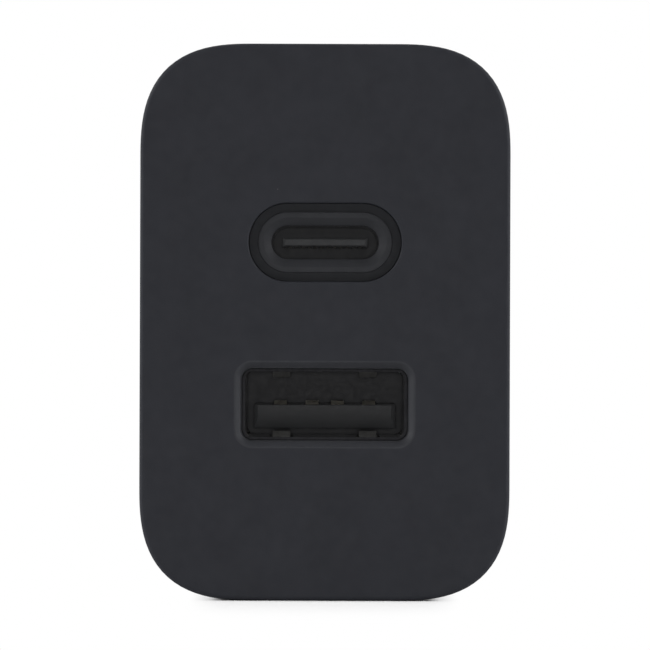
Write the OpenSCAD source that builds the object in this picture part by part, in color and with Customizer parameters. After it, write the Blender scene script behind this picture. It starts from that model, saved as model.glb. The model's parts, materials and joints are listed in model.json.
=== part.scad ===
// USB wall charger: a two-port plug-in supply whose blades fold into its back.
// Millimetres. The port face looks along -Y, the wall face along +Y, and +Z is up.
// The body stands on z = 0, with its middle on x = 0 and y = 0.

/* [Housing] */
// Width of the body
body_w = 29; // [28.8:0.1:32]
// Height of the body
body_h = 43.6; // [43:0.1:48]
// Depth from the port face to the wall face
body_d = 42; // [41.6:0.1:46]
// Length of each side that a corner curve takes up
corner_run = 8.95; // [7.5:0.05:9.5]
// Squareness of the corner curve, where 2 is a circular arc
corner_power = 2.72; // [2.2:0.02:3]
// Thickness of the side walls
wall = 1.8; // [1.5:0.1:2]
// Thickness of the port face
face_t = 2; // [1.6:0.1:2.4]
// Thickness of the wall face
cover_t = 2.2; // [1.8:0.1:2.6]
// Depth of the rear cover that shows outside
cover_band = 4; // [3.4:0.1:5]
// Rounding of the rim of the port face
front_rim_r = 0.35; // [0.2:0.05:0.8]
// Rounding of the rim of the wall face
rear_rim_r = 0.8; // [0.4:0.05:1.2]
// Chamfer on each side of the parting line
parting_chamfer = 0.2; // [0.1:0.05:0.4]
// Thickness of the skirt that plugs the cover into the housing
skirt_t = 1.2; // [0.8:0.1:1.3]
// Length of that skirt
skirt_l = 3.5; // [2:0.1:4]
// Gap between the skirt and the housing
skirt_gap = 0.08; // [0.04:0.02:0.2]
// Width and height of the inner ledges that stop the boards
ledge = 1.6; // [1.2:0.1:1.8]

/* [USB-C port] */
// Height of the port above the middle of the face
c_rise = 6.25; // [6:0.05:6.8]
// Width of the recess in the face
c_recess_w = 12; // [11.6:0.1:12.6]
// Height of the recess in the face
c_recess_h = 6.15; // [5.8:0.05:6.6]
// Width of the collar in the recess
c_collar_w = 10.5; // [10.3:0.1:11]
// Height of the collar in the recess
c_collar_h = 4.72; // [4.6:0.02:5.2]
// Depth of the collar's front behind the face
c_collar_set = 0.35; // [0.1:0.05:0.8]
// Depth of the groove round the collar
c_groove_d = 0.9; // [0.85:0.05:1.4]
// Width of the lead-in chamfer of the collar
c_lead_in = 0.6; // [0.3:0.05:0.75]
// Thickness of the lip that covers the edge of the shell
c_lip_t = 0.15; // [0.1:0.05:0.4]
// Width of the mouth of the shell
c_mouth_w = 8.34; // [8.3:0.02:8.4]
// Height of the mouth of the shell
c_mouth_h = 2.56; // [2.5:0.02:2.6]
// Sheet thickness of the shell
c_sheet = 0.3; // [0.2:0.02:0.34]
// Width of the tongue
c_tongue_w = 6.69; // [6.5:0.01:6.8]
// Thickness of the tongue
c_tongue_t = 0.7; // [0.6:0.02:0.8]
// Depth of the tongue's tip behind the mouth
c_tip_set = 0.9; // [0.5:0.05:1.5]
// Depth of the socket behind the mouth
c_socket_l = 6.6; // [6.2:0.1:7.5]
// Contacts along each side of the tongue
c_contact_count = 12; // [8:1:12]
// Spacing of the contacts
c_contact_pitch = 0.5; // [0.4:0.02:0.52]
// Width of one contact
c_contact_w = 0.25; // [0.16:0.01:0.3]

/* [USB-A port] */
// Depth of the port below the middle of the face
a_drop = 6.45; // [6.2:0.05:6.7]
// Width of the mouth of the shell
a_mouth_w = 12.5; // [12.3:0.05:12.7]
// Height of the mouth of the shell
a_mouth_h = 5.12; // [5:0.02:5.3]
// Sheet thickness of the shell
a_sheet = 0.25; // [0.2:0.01:0.3]
// Gap between the shell and the cut-out in the face
a_gap = 0.1; // [0.05:0.01:0.3]
// Corner radius of the cut-out in the face
a_corner_r = 0.95; // [0.7:0.05:1.4]
// Chamfer on the rim of the cut-out
a_chamfer = 0.4; // [0.15:0.05:0.6]
// Depth of the shell's mouth behind the face
a_set = 0.9; // [0.5:0.05:1.5]
// Length of the receptacle from its mouth to the board
a_length = 13.6; // [13:0.1:14]
// Width of the tongue
a_tongue_w = 11.1; // [10.8:0.05:11.3]
// Thickness of the tongue
a_tongue_t = 1.84; // [1.6:0.02:2]
// Height of the tongue above the floor of the shell
a_tongue_lift = 0.66; // [0.5:0.02:0.8]
// Depth of the tongue's tip behind the mouth
a_tip_set = 1.7; // [1:0.1:2.2]
// Depth of the socket behind the mouth
a_socket_l = 11.2; // [10.8:0.1:11.6]
// Width of one contact
a_contact_w = 1; // [0.7:0.05:1.2]
// Thickness of one contact
a_contact_t = 0.25; // [0.15:0.01:0.3]

/* [Folding plug] */
// Distance between the middles of the blades
blade_gap = 12.7; // [12.5:0.05:12.9]
// Thickness of a blade
blade_t = 1.5; // [1.4:0.02:1.6]
// Width of a blade
blade_w = 6.35; // [6.2:0.05:6.5]
// Length of a blade past the wall face when it is out
blade_l = 17; // [15.9:0.1:18]
// Chamfer at the tip of a blade
blade_chamfer = 1; // [0.5:0.1:1.6]
// Width of the neck of a blade inside the rotor
neck_w = 3.6; // [3:0.1:4]
// Diameter of the hole near the tip
blade_hole_d = 3.2; // [2.8:0.1:4]
// Distance of that hole from the wall face
blade_hole_from_face = 11.8; // [11:0.1:12.2]
// Height of the pivot above the middle of the body
pivot_rise = 9.2; // [9:0.1:9.6]
// Radius of the rotor that carries the blades
rotor_r = 3.7; // [3.5:0.05:3.8]
// Depth of the rotor's flat below the wall face
rotor_set = 0.2; // [0.1:0.05:0.4]
// Thickness of the rotor outside each blade
rotor_end = 1.5; // [1.2:0.1:1.7]
// Radius of the bearing pins of the rotor
trunnion_r = 1.6; // [1.3:0.05:1.7]
// Running gap of the bearing pins
bearing_gap = 0.05; // [0.02:0.01:0.1]
// Thickness of the cheeks that hold the bearing pins
cheek_t = 1.8; // [1.5:0.1:2]
// Gap between a blade and each side of its slot
slot_gap = 0.4; // [0.25:0.05:0.5]
// Wall round each blade slot
slot_wall = 0.9; // [0.7:0.1:1]
// Depth of the finger scoop at the blade tips
scoop_depth = 2.4; // [1.6:0.1:2.6]
// Radius of the finger scoop
scoop_r = 7; // [6:0.5:8]

/* [Boards] */
// Thickness of the port board
port_board_t = 1.2; // [1:0.1:1.6]
// Thickness of the main board
main_board_t = 1.6; // [1.2:0.1:1.7]
// Gap between the boards and the walls of the housing
board_gap = 0.4; // [0.2:0.05:0.6]
// Room behind the main board for cut leads
lead_room = 1.3; // [1.1:0.1:1.4]
// Thickness of the insulation sheet
sheet_t = 0.3; // [0.2:0.05:0.4]
// Thickness of the bearing cap's plate
cap_t = 1; // [0.8:0.1:1.1]
// Diameter of the leads of the larger parts
lead_d = 0.6; // [0.5:0.05:0.7]

/* [Hidden] */

// Colours
shell_grey = "#303135";
steel = "#b9bbbf";
brass = "#c9a96a";
board_green = "#1f5a3a";
ferrite = "#3b3c40";
copper = "#b06a3a";
resin = "#1c1c1e";

// Smoothness of the curves
corner_steps = 16;
small_steps = 8;
rim_steps = 5;
$fn = 48;

// Depth by which a rib or pin runs into the piece that it is part of
bury = 0.5;
// Overrun of a cut past the face that it opens
past = 1;
// Straight length left at each rounded end of an outline
end_flat = 0.04;

// Levels along Y
front_y = -body_d / 2;
back_y = body_d / 2;
cavity_y = front_y + face_t;
split_y = back_y - cover_band;
plate_y = back_y - cover_t;
mid_z = body_h / 2;

// Plug levels
pivot_y = back_y - rotor_r - rotor_set;
pivot_z = mid_z + pivot_rise;
blade_x = blade_gap / 2;
blade_reach = rotor_r + rotor_set + blade_l;
blade_taper = 1.4;
root_proud = 0.3;
root_r = rotor_r + root_proud;
rotor_half = blade_x + blade_t / 2 + rotor_end;
rotor_gap = 0.2;
cheek_x0 = rotor_half + rotor_gap;
cheek_x1 = cheek_x0 + cheek_t;
trunnion_end = cheek_x1 - rotor_gap;
bearing_r = trunnion_r + bearing_gap;
cheek_wall = 1.6;
cheek_half = bearing_r + cheek_wall;
throat_lip = 0.1;
throat_half = bearing_r - throat_lip;
window_gap = 0.5;
window_half = rotor_r + window_gap;
window_z0 = pivot_z - window_half;
slot_w = blade_t + 2 * slot_gap;
slot_floor = pivot_y - blade_w / 2 - slot_gap;
slot_z0 = pivot_z - norm([blade_reach, blade_w / 2]) - slot_gap;

// Bearing cap and its screws
cap_gap = 0.15;
cap_y1 = pivot_y - root_r - cap_gap;
cap_y0 = cap_y1 - cap_t;
cap_half = window_half - rotor_gap;
key_gap = 0.1;
key_end = 0.3;
boss_r = 2.1;
boss_lift = 0.8;
boss_pitch = cheek_half + boss_r + boss_lift;
screw_r = 0.75;
screw_l = 4;
screw_head_r = 1.5;
screw_head_h = 0.9;
screw_slot_l = 1.8;
screw_slot_w = 0.4;
screw_slot_d = 0.4;

// Finger scoop
scoop_rise = 1;
scoop_over = 2.2;
scoop_pad_t = 1.4;
scoop_rim = 1;
scoop_z = pivot_z - blade_reach + scoop_rise;
scoop_half = blade_x + blade_t / 2 + scoop_over;
scoop_chord = sqrt(2 * scoop_r * scoop_depth - scoop_depth * scoop_depth);
scoop_y = back_y + scoop_r - scoop_depth;

// Board levels
main_rear = cap_y0 - sheet_t - lead_room;
main_front = main_rear - main_board_t;
port_front = front_y + a_set + a_length;
port_rear = port_front + port_board_t;
ledge_gap = 0.5;
ledge_in = 3.2;
ledge_x = 4.5;
port_board_h = body_h - 2 * (wall + ledge + ledge_gap);
lead_r = lead_d / 2;
lead_out = 0.6;
main_lead = main_board_t + lead_out;
port_lead = port_board_t + lead_out;
hole_gap = 0.15;
post_in_x = 5.9;
post_in_z = 5.4;
post_x = body_w / 2 - post_in_x;
post_z = mid_z - post_in_z;
post_r = 1.4;
post_gap = 0.1;
post_hole_gap = 0.3;

// Contact springs
spring_t = 0.25;
spring_w = 3;
spring_touch = 0.03;
spring_side = 0.5;
spring_room = spring_w / 2 + spring_side;
spring_face = pivot_y - root_r - spring_touch;
spring_bend = (spring_face - main_rear) / 2;
spring_arm = 1.9;
spring_tip_in = 0.5;
spring_tip_up = 0.9;
spring_down = spring_arm + spring_bend + spring_side;
spring_up = spring_arm + spring_tip_up + spring_side;
spring_tab_w = 1.2;
spring_tab_h = 0.8;
spring_tab_up = 0.6;

// USB-C sizes
c_z = mid_z + c_rise;
c_shell_w = c_mouth_w + 2 * c_sheet;
c_shell_h = c_mouth_h + 2 * c_sheet;
c_fit = 0.08;
c_bore_w = c_shell_w + 2 * c_fit;
c_bore_h = c_shell_h + 2 * c_fit;
c_lip_gap = 0.05;
c_lip_w = c_mouth_w + 2 * c_lip_gap;
c_lip_h = c_mouth_h + 2 * c_lip_gap;
c_collar_front = front_y + c_collar_set;
c_lip_y = c_collar_front + c_lead_in;
c_front = c_lip_y + c_lip_t + c_fit;
c_flange_t = 1;
c_flange_edge = 0.9;
c_shoulder_gap = 0.1;
c_collar_l = 5;
c_rim_r = 0.15;
c_contact_t = 0.08;
c_tip_run = 0.4;
c_tip_inset = 0.27;
c_tip_edge = 0.15;
c_core_gap = 0.05;
c_tab_z = 1;

// USB-A sizes
a_z = mid_z - a_drop;
a_shell_w = a_mouth_w + 2 * a_sheet;
a_shell_h = a_mouth_h + 2 * a_sheet;
a_shell_r = a_corner_r - a_gap;
a_front = front_y + a_set;
a_tongue_z0 = a_z - a_mouth_h / 2 + a_tongue_lift;
a_tongue_z1 = a_tongue_z0 + a_tongue_t;
a_tip_run = 0.72;
a_tip_inset = 0.3;
a_tip_under = 0.72;
a_tip_edge = 0.15;
a_contact_x = [-3.5, -1, 1, 3.5];
a_core_gap = 0.05;
a_leaf_x = 3.4;
a_leaf_w = 1.4;
a_leaf_set = 1;
a_leaf_l = 6;
a_leaf_root = 0.2;
a_leaf_y0 = a_front + a_leaf_set;
a_leaf_y1 = a_leaf_y0 + a_leaf_l;
a_leaf_dip = 0.45;
a_window_gap = 0.2;
a_contact_set = 0.8;
a_contact_bump = 0.3;
a_contact_step = 1;
a_tab_z = 1.2;
a_tab_rise = 0.6;

// Grid for the components: the board is 12 cells wide and 20 high, the room is 7 deep
board_w = body_w - 2 * (wall + board_gap);
board_h = body_h - 2 * (wall + board_gap);
board_room = main_front - port_rear;
cell_x = board_w / 12;
cell_y = board_room / 7;
cell_z = board_h / 20;
cell = min(cell_x, cell_z);

// Place on the boards, in cells from the middle of the body
function place(x, z) = [x * cell_x, z * cell_z];

// Places of the components
transformer_at = place(1.75, 4.4);
bulk_upper_at = place(-3.6, 6.35);
bulk_lower_at = place(-3.6, 1.95);
choke_at = place(-3.2, -3.15);
filter_at = place(0.6, -7.75);
bridging_at = place(3.05, -1.65);
fuse_at = place(-4.2, -7.25);
bridge_at = place(0.5, -1.7);
controller_at = place(0.7, -4.9);
opto_at = place(3.3, -4.8);
output_left_at = place(0.7, -5.2);
output_right_at = place(3.4, -5.2);
port_chip_at = place(-2.9, -6.1);
sync_chip_at = place(-2.9, -0.3);
link_at = [for (i = [0:4]) place(5.2, i - 5.5)];
link_half = 0.32;
link_shoulder = 0.5;
link_collar = 0.6;

// Transformer sizes
core_w = 8.2 * cell_z;
core_t = 2.9 * cell_x;
core_h = 5.5 * cell_y;
core_back = core_h / 5;
core_leg = core_w / 7;
core_middle = 2 * core_leg;
core_stand = 0.3;
core_window = core_h - 2 * core_back;
window_z = core_w / 2 - core_leg;
bobbin_gap = 0.1;
bobbin_wall = 0.6;
bobbin_x = core_t / 2 + 1.55 * cell_x;
tube_w = core_t + 2 * (bobbin_gap + bobbin_wall);
tube_h = core_middle + 2 * (bobbin_gap + bobbin_wall);
flange_t = 0.7;
flange_gap = 0.15;
flange_z = window_z - flange_gap;
winding_gap = 0.2;
winding_r = 2;
rail_gap = 0.3;
rail_x0 = core_t / 2 + rail_gap;
pin_x = (rail_x0 + bobbin_x) / 2;
pin_z = 0.65 * flange_z;
pin_r = 0.35;
pin_at = [for (x = [-pin_x, pin_x], z = [-pin_z, 0, pin_z]) [x, z]];

// Sizes of the other components
bulk_d = 4 * cell;
bulk_h = 6 * cell_y;
bulk_pitch = 3.5;
output_d = 2.5 * cell;
output_h = 4.5 * cell_y;
output_pitch = 2;
crimp = 0.3;
crimp_rise = 1.2;
filter_size = [5 * cell_x, 2.25 * cell_z, 4 * cell_y];
filter_edge = 0.4;
filter_pitch = 3.6 * cell_x;
bridging_r = 1.6 * min(cell_x, cell_y);
bridging_t = 1.6 * cell_z;
bridging_edge = 0.6;
bridging_stand = 0.7;
bridging_pitch = 1.5 * bridging_r;
fuse_r = 0.9 * cell;
fuse_h = 4 * cell_y;
fuse_rise = 0.8;
fuse_span = 1.3 * cell_x;
choke_r = 2.15 * cell;
choke_in = choke_r / 2;
choke_h = 2 * cell_y;
choke_wire = 0.3 * cell;
choke_lead_r = (choke_in + choke_r) / 2;
choke_turn = 130;
choke_leads = [for (a = [35, 145, 215, 325]) choke_lead_r * [cos(a), sin(a)]];
bridge_h = 1.5;
bridge_size = [1.55 * cell_x, 2.3 * cell_z, bridge_h];
bridge_pitch = 1.25 * cell_z;
controller_h = 1.4;
controller_size = [1.65 * cell_x, 2.5 * cell_z, controller_h];
controller_pitch = 0.65 * cell_z;
opto_h = 1.8;
opto_size = [1.85 * cell_x, 2.2 * cell_z, opto_h];
opto_pitch = 1.3 * cell_z;
port_chip_h = 0.9;
port_chip_size = [2.4 * cell_x, 2.5 * cell_z, port_chip_h];
sync_chip_h = 1;
sync_chip_size = [2.4 * cell_x, 3 * cell_z, sync_chip_h];
chip_mark_in = 0.8;
chip_mark_r = 0.35;
chip_mark_d = 0.1;
leg_stand = 0.1;
leg_t = 0.2;
leg_w = 0.4;
leg_knee = 0.5;
leg_foot = 0.5;

// Outline of a rectangle with curved corners, as [x, z] points round its middle
function outline(w, h, run, power = 2, steps = small_steps) = [
    for (q = [0:3], i = [0:steps])
        let (
            t = 90 * (q + i / steps),
            reach = run / pow(pow(abs(cos(t)), power) + pow(abs(sin(t)), power), 1 / power),
            sx = q == 0 || q == 3 ? 1 : -1,
            sz = q < 2 ? 1 : -1
        )
        [sx * (w / 2 - run) + reach * cos(t), sz * (h / 2 - run) + reach * sin(t)]
];

// Outline of a plain rectangle between two levels
function rectangle(w, z0, z1) = [[w / 2, z1], [-w / 2, z1], [-w / 2, z0], [w / 2, z0]];

// Outline with half circles at its two ends
function stadium(w, h) = outline(w, h, (min(w, h) - end_flat) / 2);

// Outline of the body, drawn in from its outside by the inset
function body_outline(inset) = outline(
    body_w - 2 * inset, body_h - 2 * inset, corner_run - inset, corner_power, corner_steps
);

// Steps of a rounded rim as [y, inset], from the end plane inwards
function rim(y, r, way) = [
    for (i = [0:rim_steps])
        let (a = 90 - 90 * i / rim_steps)
        [y + way * r * (1 - sin(a)), r * (1 - cos(a))]
];

// List in the other order
function reversed(v) = [for (i = [len(v) - 1:-1:0]) v[i]];

// Solid through outlines given as [y, points], with the same number of points in each
module loft(rings, z) {
    n = len(rings[0][1]);
    last = len(rings) - 1;
    polyhedron(
        points = [for (r = rings, p = r[1]) [p.x, r[0], p.y + z]],
        faces = [
            [for (i = [n - 1:-1:0]) i],
            [for (i = [0:n - 1]) last * n + i],
            for (k = [0:last - 1], i = [0:n - 1])
                let (a = k * n + i, b = k * n + (i + 1) % n)
                each [[a, b, b + n], [a, b + n, a + n]]
        ]
    );
}

// Flat shape in X and Z, drawn out along Y
module extrude_y(y0, y1) {
    translate([0, y1, 0]) rotate([90, 0, 0]) linear_extrude(y1 - y0) children();
}

// Flat shape in Y and Z, drawn out along X
module extrude_x(x0, x1) {
    translate([x0, 0, 0]) rotate([90, 0, 90]) linear_extrude(x1 - x0) children();
}

// Round bar along Y
module rod_y(y0, y1, r) {
    translate([0, y1, 0]) rotate([90, 0, 0]) cylinder(h = y1 - y0, r = r);
}

// Round bar along X
module rod_x(x0, x1, r) {
    translate([x0, 0, 0]) rotate([0, 90, 0]) cylinder(h = x1 - x0, r = r);
}

// Block between two corners
module block(a, b) {
    translate(a) cube(b - a);
}

// The same thing on the left and on the right
module both_sides() {
    for (s = [0, 1]) mirror([s, 0, 0]) children();
}

// Body outline drawn out along Y
module body_prism(inset, y0, y1) {
    translate([0, 0, mid_z]) extrude_y(y0, y1) polygon(body_outline(inset));
}

// Cut through the port face, with the steps of its rim given from the face inwards
module face_cut(w, h, run, edge, z) {
    steps = concat([[front_y - past, edge[0][1]]], edge, [[cavity_y + bury, 0]]);
    loft([for (s = steps) [s[0], outline(w + 2 * s[1], h + 2 * s[1], run + s[1])]], z);
}

module housing_shell() {
    steps = concat(
        rim(front_y, front_rim_r, 1),
        [[split_y - parting_chamfer, 0], [split_y, parting_chamfer]]
    );
    difference() {
        loft([for (s = steps) [s[0], body_outline(s[1])]], mid_z);
        body_prism(wall, cavity_y, split_y + past);
    }
}

// Ledges along the walls that the two boards stop against
module housing_ledges() {
    side_x = body_w / 2 - wall;
    side_z = port_board_h / 2 - ledge_in;
    top_z = body_h - wall;
    both_sides() {
        for (z = [mid_z - side_z, mid_z + side_z])
            block(
                [side_x - ledge, cavity_y - bury, z - ledge / 2],
                [side_x + bury, port_front, z + ledge / 2]
            );
        for (z = [wall - bury, top_z - ledge])
            block(
                [ledge_x - ledge / 2, cavity_y - bury, z],
                [ledge_x + ledge / 2, main_front, z + ledge + bury]
            );
    }
}

module front_housing() {
    c_edge = rim(front_y, c_rim_r, 1);
    a_edge = [[front_y, a_chamfer], [front_y + a_chamfer, 0]];
    color(shell_grey) difference() {
        union() {
            housing_shell();
            housing_ledges();
        }
        face_cut(c_recess_w, c_recess_h, (c_recess_h - end_flat) / 2, c_edge, c_z);
        face_cut(a_shell_w + 2 * a_gap, a_shell_h + 2 * a_gap, a_corner_r, a_edge, a_z);
    }
}

module cover_cup() {
    steps = concat(
        [[split_y, parting_chamfer], [split_y + parting_chamfer, 0]],
        reversed(rim(back_y, rear_rim_r, -1))
    );
    inside = wall + skirt_gap + skirt_t;
    difference() {
        union() {
            loft([for (s = steps) [s[0], body_outline(s[1])]], mid_z);
            body_prism(wall + skirt_gap, split_y - skirt_l, split_y + bury);
        }
        body_prism(inside, split_y - skirt_l - past, plate_y);
    }
}

// Bearing cheeks, slot boxes, board posts, screw bosses and the pad behind the scoop
module cover_fittings() {
    root = plate_y + bury;
    box_x = slot_w / 2 + slot_wall;
    both_sides() {
        block(
            [cheek_x0, cap_y1, pivot_z - cheek_half],
            [cheek_x1, root, pivot_z + cheek_half]
        );
        block(
            [blade_x - box_x, slot_floor - slot_wall, slot_z0 - slot_wall],
            [blade_x + box_x, root, window_z0]
        );
        for (z = [mid_z - post_z, mid_z + post_z])
            translate([post_x, 0, z]) rod_y(main_rear + post_gap, root, post_r);
    }
    for (z = [pivot_z - boss_pitch, pivot_z + boss_pitch])
        translate([0, 0, z]) rod_y(cap_y1, root, boss_r);
    block(
        [-scoop_half - scoop_rim, plate_y - scoop_pad_t, scoop_z - scoop_chord - scoop_rim],
        [scoop_half + scoop_rim, root, scoop_z + scoop_chord + scoop_rim]
    );
}

// Rotor window, blade slots, bearings, screw holes and the finger scoop
module cover_cuts() {
    slope = scoop_depth;
    block(
        [-cheek_x0, plate_y - past, window_z0],
        [cheek_x0, back_y + past, pivot_z + window_half]
    );
    both_sides() {
        block(
            [blade_x - slot_w / 2, slot_floor, slot_z0],
            [blade_x + slot_w / 2, back_y + past, window_z0 + past]
        );
        block(
            [cheek_x0 - past, cap_y1 - past, pivot_z - throat_half],
            [cheek_x1 + past, pivot_y, pivot_z + throat_half]
        );
    }
    translate([0, pivot_y, pivot_z]) rod_x(-cheek_x1 - past, cheek_x1 + past, bearing_r);
    for (z = [pivot_z - boss_pitch, pivot_z + boss_pitch])
        translate([0, 0, z]) rod_y(cap_y1 - past, cap_y1 + screw_l + bury, screw_r + bearing_gap);
    translate([0, scoop_y, scoop_z]) rotate([0, 90, 0]) rotate_extrude()
        polygon([
            [0, -scoop_half], [scoop_r - slope, -scoop_half], [scoop_r, slope - scoop_half],
            [scoop_r, scoop_half - slope], [scoop_r - slope, scoop_half], [0, scoop_half]
        ]);
}

module rear_cover() {
    color(shell_grey) difference() {
        union() {
            cover_cup();
            cover_fittings();
        }
        cover_cuts();
    }
}

// Collar that frames the USB-C mouth: its chamfer ends in a lip that covers the shell's edge, a
// shoulder fills the recess behind the groove and a flange stops behind the port face
module usb_c_collar() {
    shoulder_w = c_recess_w - 2 * c_shoulder_gap;
    shoulder_h = c_recess_h - 2 * c_shoulder_gap;
    flange_w = c_recess_w + 2 * c_flange_edge;
    flange_h = c_recess_h + 2 * c_flange_edge;
    back = cavity_y + c_collar_l;
    chamfer = [[c_collar_front - past, c_lead_in + past], [c_lip_y, 0], [c_front, 0]];
    color(shell_grey) difference() {
        translate([0, 0, c_z]) union() {
            extrude_y(c_collar_front, back) polygon(stadium(c_collar_w, c_collar_h));
            extrude_y(front_y + c_groove_d, cavity_y + bury)
                polygon(stadium(shoulder_w, shoulder_h));
            extrude_y(cavity_y, cavity_y + c_flange_t) polygon(stadium(flange_w, flange_h));
        }
        translate([0, 0, c_z]) extrude_y(c_lip_y + c_lip_t, back + past)
            polygon(stadium(c_bore_w, c_bore_h));
        loft([for (s = chamfer) [s[0], stadium(c_lip_w + 2 * s[1], c_lip_h + 2 * s[1])]], c_z);
    }
}

module usb_c_shell() {
    tab_x = c_shell_w / 2;
    color(steel) {
        translate([0, 0, c_z]) extrude_y(c_front, port_front) difference() {
            polygon(stadium(c_shell_w, c_shell_h));
            polygon(stadium(c_mouth_w, c_mouth_h));
        }
        both_sides() block(
            [tab_x - c_sheet, port_front - bury, c_z - c_tab_z / 2],
            [tab_x, port_front + port_lead, c_z + c_tab_z / 2]
        );
    }
}

module usb_c_contacts() {
    first = -(c_contact_count - 1) / 2;
    color(brass) for (i = [0:c_contact_count - 1], s = [0, 1])
        translate([(first + i) * c_contact_pitch, 0, c_z]) mirror([0, 0, s])
            block(
                [-c_contact_w / 2, c_front + c_tip_set + bury, c_tongue_t / 2 - c_contact_t],
                [c_contact_w / 2, port_front, c_tongue_t / 2]
            );
}

module usb_c_tongue() {
    tip = c_front + c_tip_set;
    core_w_c = c_mouth_w - 2 * c_core_gap;
    core_h_c = c_mouth_h - 2 * c_core_gap;
    half = c_tongue_t / 2;
    full = rectangle(c_tongue_w, -half, half);
    nose = rectangle(c_tongue_w - 2 * c_tip_inset, c_tip_edge - half, half - c_tip_edge);
    color(resin) difference() {
        union() {
            loft([[tip, nose], [tip + c_tip_run, full], [port_front, full]], c_z);
            translate([0, 0, c_z]) extrude_y(c_front + c_socket_l, port_front)
                polygon(stadium(core_w_c, core_h_c));
        }
        usb_c_contacts();
    }
}

// Spring leaf that dips into the mouth from the rear end of its window
module usb_a_leaf() {
    top = a_z + a_mouth_h / 2;
    root = a_leaf_y1 + a_leaf_root;
    tip = a_leaf_y0 + bury;
    extrude_x(a_leaf_x - a_leaf_w / 2, a_leaf_x + a_leaf_w / 2) polygon([
        [root, top], [root, top + a_sheet], [a_leaf_y1, top + a_sheet],
        [tip + bury, top + a_sheet - a_leaf_dip], [tip, top + a_sheet],
        [tip, top], [tip + bury, top - a_leaf_dip], [a_leaf_y1, top]
    ]);
}

module usb_a_shell() {
    tab_x = a_shell_w / 2;
    window_x = a_leaf_w / 2 + a_window_gap;
    color(steel) {
        difference() {
            translate([0, 0, a_z]) extrude_y(a_front, port_front) difference() {
                polygon(outline(a_shell_w, a_shell_h, a_shell_r));
                polygon(outline(a_mouth_w, a_mouth_h, a_shell_r - a_sheet));
            }
            both_sides() block(
                [a_leaf_x - window_x, a_leaf_y0, a_z - a_shell_h],
                [a_leaf_x + window_x, a_leaf_y1, a_z + a_shell_h]
            );
        }
        both_sides() {
            usb_a_leaf();
            translate([0, 0, 2 * a_z]) mirror([0, 0, 1]) usb_a_leaf();
            block(
                [tab_x - a_sheet, port_front - bury, a_z + a_tab_rise - a_tab_z / 2],
                [tab_x, port_front + port_lead, a_z + a_tab_rise + a_tab_z / 2]
            );
        }
    }
}

// Contact blades sunk in the top of the tongue, each with a raised touch point
module usb_a_contacts() {
    start = a_front + a_tip_set + a_contact_set;
    end = port_front + port_lead;
    step = a_contact_step;
    z1 = a_tongue_z1;
    z0 = z1 - a_contact_t;
    z2 = z1 + a_contact_bump;
    color(brass) for (x = a_contact_x)
        extrude_x(x - a_contact_w / 2, x + a_contact_w / 2) polygon([
            [start, z0], [end, z0], [end, z1], [start + 5 * step, z1],
            [start + 3 * step, z2], [start + 2 * step, z2], [start, z1]
        ]);
}

module usb_a_tongue() {
    tip = a_front + a_tip_set;
    core_w_a = a_mouth_w - 2 * a_core_gap;
    core_h_a = a_mouth_h - 2 * a_core_gap;
    full = rectangle(a_tongue_w, a_tongue_z0, a_tongue_z1);
    nose = rectangle(
        a_tongue_w - 2 * a_tip_inset, a_tongue_z0 + a_tip_under, a_tongue_z1 - a_tip_edge
    );
    color(resin) difference() {
        union() {
            loft([[tip, nose], [tip + a_tip_run, full], [port_front, full]], 0);
            translate([0, 0, a_z]) extrude_y(a_front + a_socket_l, port_front)
                polygon(outline(core_w_a, core_h_a, a_shell_r - a_sheet));
        }
        usb_a_contacts();
    }
}

// Barrel that carries both blades, round behind and square where it meets the wall face
module blade_rotor() {
    steps = 30;
    section = concat(
        [for (i = [0:steps]) let (a = 270 * i / steps) rotor_r * [cos(a), sin(a)]],
        [[rotor_r, -rotor_r]]
    );
    color(shell_grey) translate([0, pivot_y, pivot_z]) difference() {
        union() {
            extrude_x(-rotor_half, rotor_half) polygon(section);
            rod_x(-trunnion_end, trunnion_end, trunnion_r);
        }
        both_sides() block(
            [blade_x - blade_t / 2, -neck_w / 2, -rotor_r - past],
            [blade_x + blade_t / 2, neck_w / 2, rotor_r + past]
        );
    }
}

// One blade, drawn folded: it hangs down from the pivot with its root above
module blade(x) {
    half = blade_w / 2;
    neck = neck_w / 2;
    tip = -blade_reach;
    thin = blade_t / 4;
    sweep = asin(neck / root_r);
    steps = 8;
    side = concat(
        [
            [-neck, -rotor_r], [-half, -rotor_r], [-half, tip + blade_chamfer],
            [blade_chamfer - half, tip], [half - blade_chamfer, tip],
            [half, tip + blade_chamfer], [half, -rotor_r], [neck, -rotor_r]
        ],
        [for (i = [0:steps]) let (a = 90 - sweep + 2 * sweep * i / steps) root_r * [cos(a), sin(a)]]
    );
    color(steel) translate([x, pivot_y, pivot_z]) intersection() {
        difference() {
            extrude_x(-blade_t / 2, blade_t / 2) polygon(side);
            translate([0, 0, -rotor_r - rotor_set - blade_hole_from_face])
                rod_x(-blade_t, blade_t, blade_hole_d / 2);
        }
        extrude_y(-blade_w, blade_w) polygon([
            [-blade_t / 2, root_r + past], [-blade_t / 2, tip + blade_taper], [-thin, tip],
            [thin, tip], [blade_t / 2, tip + blade_taper], [blade_t / 2, root_r + past]
        ]);
    }
}

module blade_left() {
    blade(-blade_x);
}

module blade_right() {
    blade(blade_x);
}

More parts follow.
